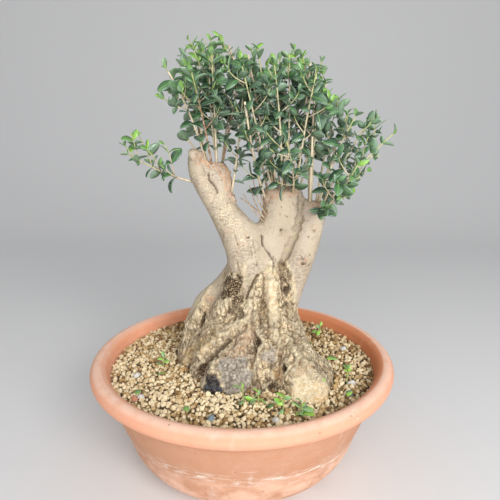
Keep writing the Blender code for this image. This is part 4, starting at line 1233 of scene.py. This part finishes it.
class Foliage:
    """Stems and leaves of one leafy piece, gathered in one mesh: the stems first, then the leaves."""

    def __init__(self, draw):
        self.draw = draw
        self.stems = bmesh.new()
        self.stem_numbers = {"youth": [], "tone": []}
        self.leaves = []

    def add_stem(self, bend, thick, thin, youth, tone, steps, sides=6):
        """A closed stem along a bend, swept from a circle, with a slightly swollen joint now and then."""
        start_way = bend_way(bend, 0)
        turn = start_way.to_track_quat("Z", "Y").to_matrix().to_4x4()
        ring = bmesh.ops.create_circle(self.stems, cap_ends=True, segments=sides, radius=thick, matrix=Matrix.Translation(bend_point(bend, 0)) @ turn)
        verts = ring["verts"]
        cap = next(face for face in verts[0].link_faces)
        if cap.normal.dot(start_way) > 0:
            bmesh.ops.reverse_faces(self.stems, faces=[cap])
        edges = list(cap.edges)
        way, size = start_way, thick
        self.stem_numbers["youth"] += [youth[0]] * sides
        self.stem_numbers["tone"] += [tone] * sides
        for step in range(1, steps + 1):
            t = step / steps
            made = bmesh.ops.extrude_edge_only(self.stems, edges=edges)["geom"]
            verts = [item for item in made if isinstance(item, bmesh.types.BMVert)]
            edges = [item for item in made if isinstance(item, bmesh.types.BMEdge) and all(v in verts for v in item.verts)]
            centre = bend_point(bend, (step - 1) / steps)
            next_way = bend_way(bend, t)
            next_size = thick + (thin - thick) * t
            knot = 1.12 if step % 3 == 0 else 1.0
            bmesh.ops.rotate(self.stems, verts=verts, cent=centre, matrix=way.rotation_difference(next_way).to_matrix())
            bmesh.ops.scale(self.stems, verts=verts, vec=(next_size * knot / size,) * 3, space=Matrix.Translation(-centre))
            bmesh.ops.translate(self.stems, verts=verts, vec=bend_point(bend, t) - centre)
            way, size = next_way, next_size * knot
            self.stem_numbers["youth"] += [youth[0] + (youth[1] - youth[0]) * t] * sides
            self.stem_numbers["tone"] += [tone] * sides
        bmesh.ops.contextual_create(self.stems, geom=edges)

    def add_leaf(self, root, axis, upper, length, width, youth, tone):
        self.leaves.append((leaf_place(root, axis, upper, length, width), youth, tone))

    def mesh(self, name, shapes):
        bmesh.ops.recalc_face_normals(self.stems, faces=self.stems.faces)
        heap = Heap()
        heap.bm = self.stems
        stem_faces = len(self.stems.faces)
        stem_verts = len(self.stems.verts)
        heap.numbers = {"youth": self.stem_numbers["youth"], "tone": self.stem_numbers["tone"]}
        for number in ("along", "across", "under"):
            heap.numbers[number] = [0.0] * stem_verts
        for place, youth, tone in self.leaves:
            shape = self.draw.choice(shapes)
            heap.add(shape, place, **leaf_numbers(shape, youth, tone))
        mesh = heap.mesh(name)
        slots = np.ones(len(mesh.polygons), np.int32)
        slots[:stem_faces] = 0
        mesh.polygons.foreach_set("material_index", slots)
        return mesh


def add_pairs(foliage, bend, first, spacing, crown, youth_at, allowed, pruned=False, droop=1.0, grown=1.0):
    """Crossed pairs of leaves up a stem, and two small ones at its tip unless it was pruned there."""
    draw = foliage.draw
    length = bend_length(bend)
    pairs = max(1, round((1 - first) * length / spacing))
    turn = draw.uniform(0, math.pi)
    for pair in range(pairs if pruned else pairs + 1):
        t = first + (1 - first) * pair / pairs
        root, way = bend_point(bend, min(t, 0.995)), bend_way(bend, t)
        across = way.orthogonal().normalized()
        tip_share = 0.0 if pruned else max(0.0, 1 - (pairs - pair) / 2.2)
        low_share = 1 - smoothstep(240, 330, (root.z - RIM_LEVEL) / MM)
        for side in (0, math.pi):
            angle = turn + pair * math.pi / 2 + side + draw.uniform(-0.35, 0.35)
            out = Matrix.Rotation(angle, 3, way) @ across
            lean = draw.uniform(0.8, 1.6) * (1 - 0.45 * tip_share)
            axis = (out * math.sin(lean) + way * math.cos(lean)).normalized()
            hang = droop * draw.uniform(0.0, 0.3 + 0.9 * low_share) * (1 - tip_share)
            axis = (axis - UP * hang).normalized()
            size = draw.triangular(0.5, 1.3, 0.92) * (1 - 0.4 * tip_share)
            leaf_length = crown.leaf_length * size * grown
            width = crown.leaf_width * size * grown * draw.uniform(0.85, 1.12)
            upper = (Matrix.Rotation(draw.gauss(0, 0.5), 3, axis) @ way).normalized()
            bare = draw.random() < 0.4 * low_share * droop
            if not bare and allowed(root + axis * leaf_length * 0.55) and allowed(root + axis * leaf_length):
                youth = min(1.0, max(0.0, youth_at(root) + 0.45 * tip_share + draw.uniform(-0.2, 0.2)))
                foliage.add_leaf(root, axis, upper, leaf_length, width, youth, draw.random())


def shortened(bend, keep):
    """The first part of a bend, up to where it leaves the crown."""
    share = 1.0
    while share > 0.4 and not keep(bend_point(bend, share)):
        share -= 0.02
    start, elbow, _ = bend
    return start, start.lerp(elbow, share), bend_point(bend, share)


def twig_bend(draw, bend, t, turn, lift):
    """A side twig that leaves the shoot at a share of its height and turns upwards by up to the lift."""
    root, way = bend_point(bend, t), bend_way(bend, t)
    out = Matrix.Rotation(turn, 3, way) @ way.orthogonal().normalized()
    out = (out + Vector((out.x, out.y, 0)) * 0.3).normalized()
    reach = draw.uniform(15, 34) * MM
    tip = root + (out * 0.74 + way * 0.62).normalized() * reach + UP * draw.uniform(0.0, lift)
    elbow = root.lerp(tip, 0.5) + out * reach * 0.2
    return root, elbow, tip


def build_shoots(crown):
    """Every shoot with its side twigs, each in place of its solid."""
    skin = merged_copy("trunk")
    trunk_tree = tree_of(skin)
    shapes = [leaf_shape(*bend) for bend in ((0.1, 0.04), (0.2, 0.1), (0.32, 0.07), (0.42, 0.13))]
    leaf = leaf_material("leaf", crown)
    wood = shoot_wood_material("shoot_wood", crown)

    def youth_at(place):
        """Young near the crown's top and edge, old and darker low and inside: partly the leaves' age, partly painted
        shade deep and low in the crown.
        """
        height = (place.z - RIM_LEVEL) / MM
        return 0.9 * smoothstep(240, 335, height) - max(0.0, outline_depth(place)) / 48

    def clear_of_trunk(place):
        near, normal, _, _ = trunk_tree.find_nearest(place)
        return (place - near).dot(normal) > 1.5 * MM

    bends = shoot_bends(trunk_tree)
    for number, (start, elbow, tip) in enumerate(bends):
        draw = random.Random(crown.seed * 100 + number)
        lone = number >= len(bends) - len(LONE_SHOOTS)
        aside = number == len(bends) - len(LONE_SHOOTS)
        outline = SIDE_OUTLINE if aside else CROWN_OUTLINE

        ragged = 7.0 if lone else draw.uniform(-5, 9)

        def inside(place, beyond=0.0):
            return outline_depth(place, outline) > -ragged - beyond

        def allowed(place):
            return clear_of_trunk(place) and inside(place, 5)

        sink = (elbow - start).normalized() * 4 * MM
        bend = (start - sink, elbow, tip)
        bend = shortened(bend, inside)
        length = bend_length(bend)
        thick = 0.95 * MM + 0.0036 * length
        tone = draw.choice((0.2, 0.6, 0.75, 0.9, 0.95, 1.0))
        pruned = draw.random() < crown.pruned
        foliage = Foliage(draw)
        foliage.add_stem(bend, thick, (1.1 if pruned else 0.65) * MM, (0.0, 0.3 if pruned else 0.8), tone, 10)
        extra_youth = 0.3 if lone else 0.0
        droop = 0.3 if lone else 1.0
        lowest = 0.12 if lone else 0.24
        add_pairs(foliage, bend, lowest, crown.spacing, crown, lambda place: youth_at(place) + extra_youth, allowed, pruned, droop)
        twigs = round(crown.twigs * (1.4 if lone else min(1.0, length / 0.14)))
        for twig in range(twigs):
            t = lowest + 0.06 + (0.84 - lowest) * (twig + draw.uniform(0.1, 0.9)) / twigs
            side = twig_bend(draw, bend, t, GOLDEN_ANGLE * twig + draw.uniform(-0.4, 0.4), (26 if aside else 8) * MM)
            side = shortened(side, inside)
            foliage.add_stem(side, 0.8 * MM, 0.45 * MM, (0.1 + 0.3 * t, 0.9), tone, 4, 5)
            add_pairs(foliage, side, 0.35, crown.spacing * 0.85, crown, lambda place: youth_at(place) + extra_youth, allowed, droop=droop)
        name = f"shoot_{number + 1:02d}"
        new_piece("leafy_" + name, foliage.mesh("leafy_" + name, shapes), [wood, leaf], [name])
    for shape in shapes:
        bpy.data.meshes.remove(shape)

    fork = Foliage(random.Random(crown.seed))
    for points in FORK_TWIGS:
        start, elbow, tip = (Vector((x * MM, y * MM, RIM_LEVEL + z * MM)) for x, y, z in points)
        root = trunk_tree.find_nearest(start)[0]
        fork.add_stem((root, elbow, tip), 0.95 * MM, 0.5 * MM, (0.0, 0.5), 0.45, 6, 5)
    new_piece("fork_twigs", fork.mesh("fork_twigs", ()), [wood])
    bpy.data.meshes.remove(skin)


def build_seedlings(crown):
    """Small seedlings rooted in the grit."""
    soil_tree = tree_of(merged_copy("soil"))
    draw = random.Random(crown.seed + 5)
    shapes = [leaf_shape(*bend) for bend in ((0.12, 0.08), (0.3, 0.14))]
    leaf = leaf_material("seedling_leaf", crown, 1.45)
    wood = shoot_wood_material("seedling_stem", crown)
    for number, (x, y, pairs) in enumerate(SEEDLINGS):
        name = f"seedling_{number + 1}"
        low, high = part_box(name)
        ground = soil_point(soil_tree, x * MM, y * MM)
        foot = Vector((x * MM, y * MM, ground.z - 2 * MM))
        tip = Vector(((low.x + high.x) / 2, (low.y + high.y) / 2, high.z - 4 * MM))
        bend = (foot, foot.lerp(tip, 0.5) + UP * MM, tip)
        foliage = Foliage(draw)
        foliage.add_stem(bend, 0.8 * MM, 0.5 * MM, (0.8, 1.0), 0.6, 4)
        spacing = bend_length(bend) * 0.7 / (pairs + 1)
        add_pairs(
            foliage, bend, 0.3, spacing, crown, lambda place: draw.uniform(0.8, 1.0),
            lambda place: place.z > ground.z + MM, grown=0.74,
        )
        new_piece("leafy_" + name, foliage.mesh("leafy_" + name, shapes), [wood, leaf], [name])
    for shape in shapes:
        bpy.data.meshes.remove(shape)


# The stage


def build_floor(stage):
    """A pale floor that sweeps up into a backdrop."""
    bm = bmesh.new()
    profile = [(-3.0, 0.0), (1.2, 0.0), (2.4, 0.0), (2.4, 1.2), (2.4, 4.0)]
    verts = [bm.verts.new((-4.0, y, z)) for y, z in profile]
    edges = [bm.edges.new(pair) for pair in zip(verts, verts[1:])]
    corner = [verts[2]]
    bmesh.ops.bevel(bm, geom=corner, affect="VERTICES", offset=1.1, segments=16, profile=0.5, material=-1)
    made = bmesh.ops.extrude_edge_only(bm, edges=list(bm.edges))["geom"]
    bmesh.ops.translate(bm, verts=[item for item in made if isinstance(item, bmesh.types.BMVert)], vec=(8.0, 0, 0))
    bmesh.ops.recalc_face_normals(bm, faces=bm.faces)
    mesh = mesh_from(bm, "floor")
    mesh.materials.append(floor_material(stage))
    floor = bpy.data.objects.new("floor", mesh)
    bpy.context.scene.collection.objects.link(floor)


def add_light(name, place, aim, size, power):
    lamp = bpy.data.lights.new(name, "AREA")
    lamp.shape = "SQUARE"
    lamp.size = size
    lamp.energy = power
    light = bpy.data.objects.new(name, lamp)
    light.location = place
    light.rotation_euler = (Vector(aim) - Vector(place)).to_track_quat("-Z", "Y").to_euler()
    bpy.context.scene.collection.objects.link(light)


def build_stage(stage):
    scene = bpy.context.scene
    scene.view_settings.view_transform = "Standard"
    build_floor(stage)
    aim = (0.0, 0.0, 0.25)
    add_light("key", (0.75, -1.5, 0.95), aim, 0.8, stage.key)
    add_light("fill", (-0.25, -1.8, 0.75), (0.0, 0.0, 0.1), 1.2, stage.fill)
    world = bpy.data.worlds.new("soft_room")
    world.use_nodes = True
    world.node_tree.nodes["Background"].inputs["Color"].default_value = (0.95, 0.97, 1.0, 1.0)
    world.node_tree.nodes["Background"].inputs["Strength"].default_value = stage.sky
    scene.world = world
    lens = bpy.data.cameras.new("photograph")
    lens.lens = LENS
    lens.sensor_width = SENSOR
    camera = bpy.data.objects.new("photograph", lens)
    camera.location = CAMERA_PLACE
    camera.rotation_euler = (CAMERA_PITCH, 0, 0)
    scene.collection.objects.link(camera)
    scene.camera = camera


# Operators, panel and registration


class PREBONSAI_OT_bowl(bpy.types.Operator):
    """Make the terracotta bowl with its rolled rim and drain holes"""

    bl_idname = "prebonsai.bowl"
    bl_label = "Bowl"

    def execute(self, context):
        build_bowl(context.scene.prebonsai_bowl)
        return {"FINISHED"}


class PREBONSAI_OT_trunk(bpy.types.Operator):
    """Make the trunk and roots with their bark"""

    bl_idname = "prebonsai.trunk"
    bl_label = "Trunk and roots"

    def execute(self, context):
        build_trunk(context.scene.prebonsai_trunk)
        return {"FINISHED"}


class PREBONSAI_OT_grit(bpy.types.Operator):
    """Cover the soil with grains of grit"""

    bl_idname = "prebonsai.grit"
    bl_label = "Grit"

    def execute(self, context):
        build_grit(context.scene.prebonsai_grit)
        return {"FINISHED"}


class PREBONSAI_OT_litter(bpy.types.Operator):
    """Lay pebbles and fallen leaves on the grit"""

    bl_idname = "prebonsai.litter"
    bl_label = "Pebbles and fallen leaves"

    def execute(self, context):
        build_litter(context.scene.prebonsai_grit, context.scene.prebonsai_crown)
        return {"FINISHED"}


class PREBONSAI_OT_shoots(bpy.types.Operator):
    """Grow the leafy shoots of the crown"""

    bl_idname = "prebonsai.shoots"
    bl_label = "Leafy shoots"

    def execute(self, context):
        build_shoots(context.scene.prebonsai_crown)
        return {"FINISHED"}


class PREBONSAI_OT_seedlings(bpy.types.Operator):
    """Grow the seedlings in the grit"""

    bl_idname = "prebonsai.seedlings"
    bl_label = "Seedlings"

    def execute(self, context):
        build_seedlings(context.scene.prebonsai_crown)
        return {"FINISHED"}


class PREBONSAI_OT_stage(bpy.types.Operator):
    """Set the floor, the lights and the camera"""

    bl_idname = "prebonsai.stage"
    bl_label = "Stage"

    def execute(self, context):
        build_stage(context.scene.prebonsai_stage)
        return {"FINISHED"}


OPERATORS = (
    PREBONSAI_OT_stage,
    PREBONSAI_OT_bowl,
    PREBONSAI_OT_trunk,
    PREBONSAI_OT_grit,
    PREBONSAI_OT_litter,
    PREBONSAI_OT_shoots,
    PREBONSAI_OT_seedlings,
)
SETTINGS = {
    "prebonsai_bowl": BowlSettings,
    "prebonsai_grit": GritSettings,
    "prebonsai_trunk": TrunkSettings,
    "prebonsai_crown": CrownSettings,
    "prebonsai_stage": StageSettings,
}


class PREBONSAI_PT_panel(bpy.types.Panel):
    """Lists the settings and the pieces"""

    bl_label = "Pre-bonsai tree"
    bl_space_type = "VIEW_3D"
    bl_region_type = "UI"
    bl_category = "Pre-bonsai"

    def draw(self, context):
        for name, kind in SETTINGS.items():
            box = self.layout.box()
            box.label(text=name.removeprefix("prebonsai_").capitalize())
            for setting in kind.__annotations__:
                box.prop(getattr(context.scene, name), setting)
        for operator in OPERATORS:
            self.layout.operator(operator.bl_idname)


def register():
    for kind in (*SETTINGS.values(), *OPERATORS, PREBONSAI_PT_panel):
        bpy.utils.register_class(kind)
    for name, kind in SETTINGS.items():
        setattr(bpy.types.Scene, name, PointerProperty(type=kind))


def unregister():
    for name in SETTINGS:
        delattr(bpy.types.Scene, name)
    for kind in reversed((*SETTINGS.values(), *OPERATORS, PREBONSAI_PT_panel)):
        bpy.utils.unregister_class(kind)


def main():
    register()
    bpy.ops.prebonsai.stage()
    bpy.ops.prebonsai.bowl()
    bpy.ops.prebonsai.trunk()
    bpy.ops.prebonsai.grit()
    bpy.ops.prebonsai.litter()
    bpy.ops.prebonsai.shoots()
    bpy.ops.prebonsai.seedlings()


if __name__ == "__main__":
    main()
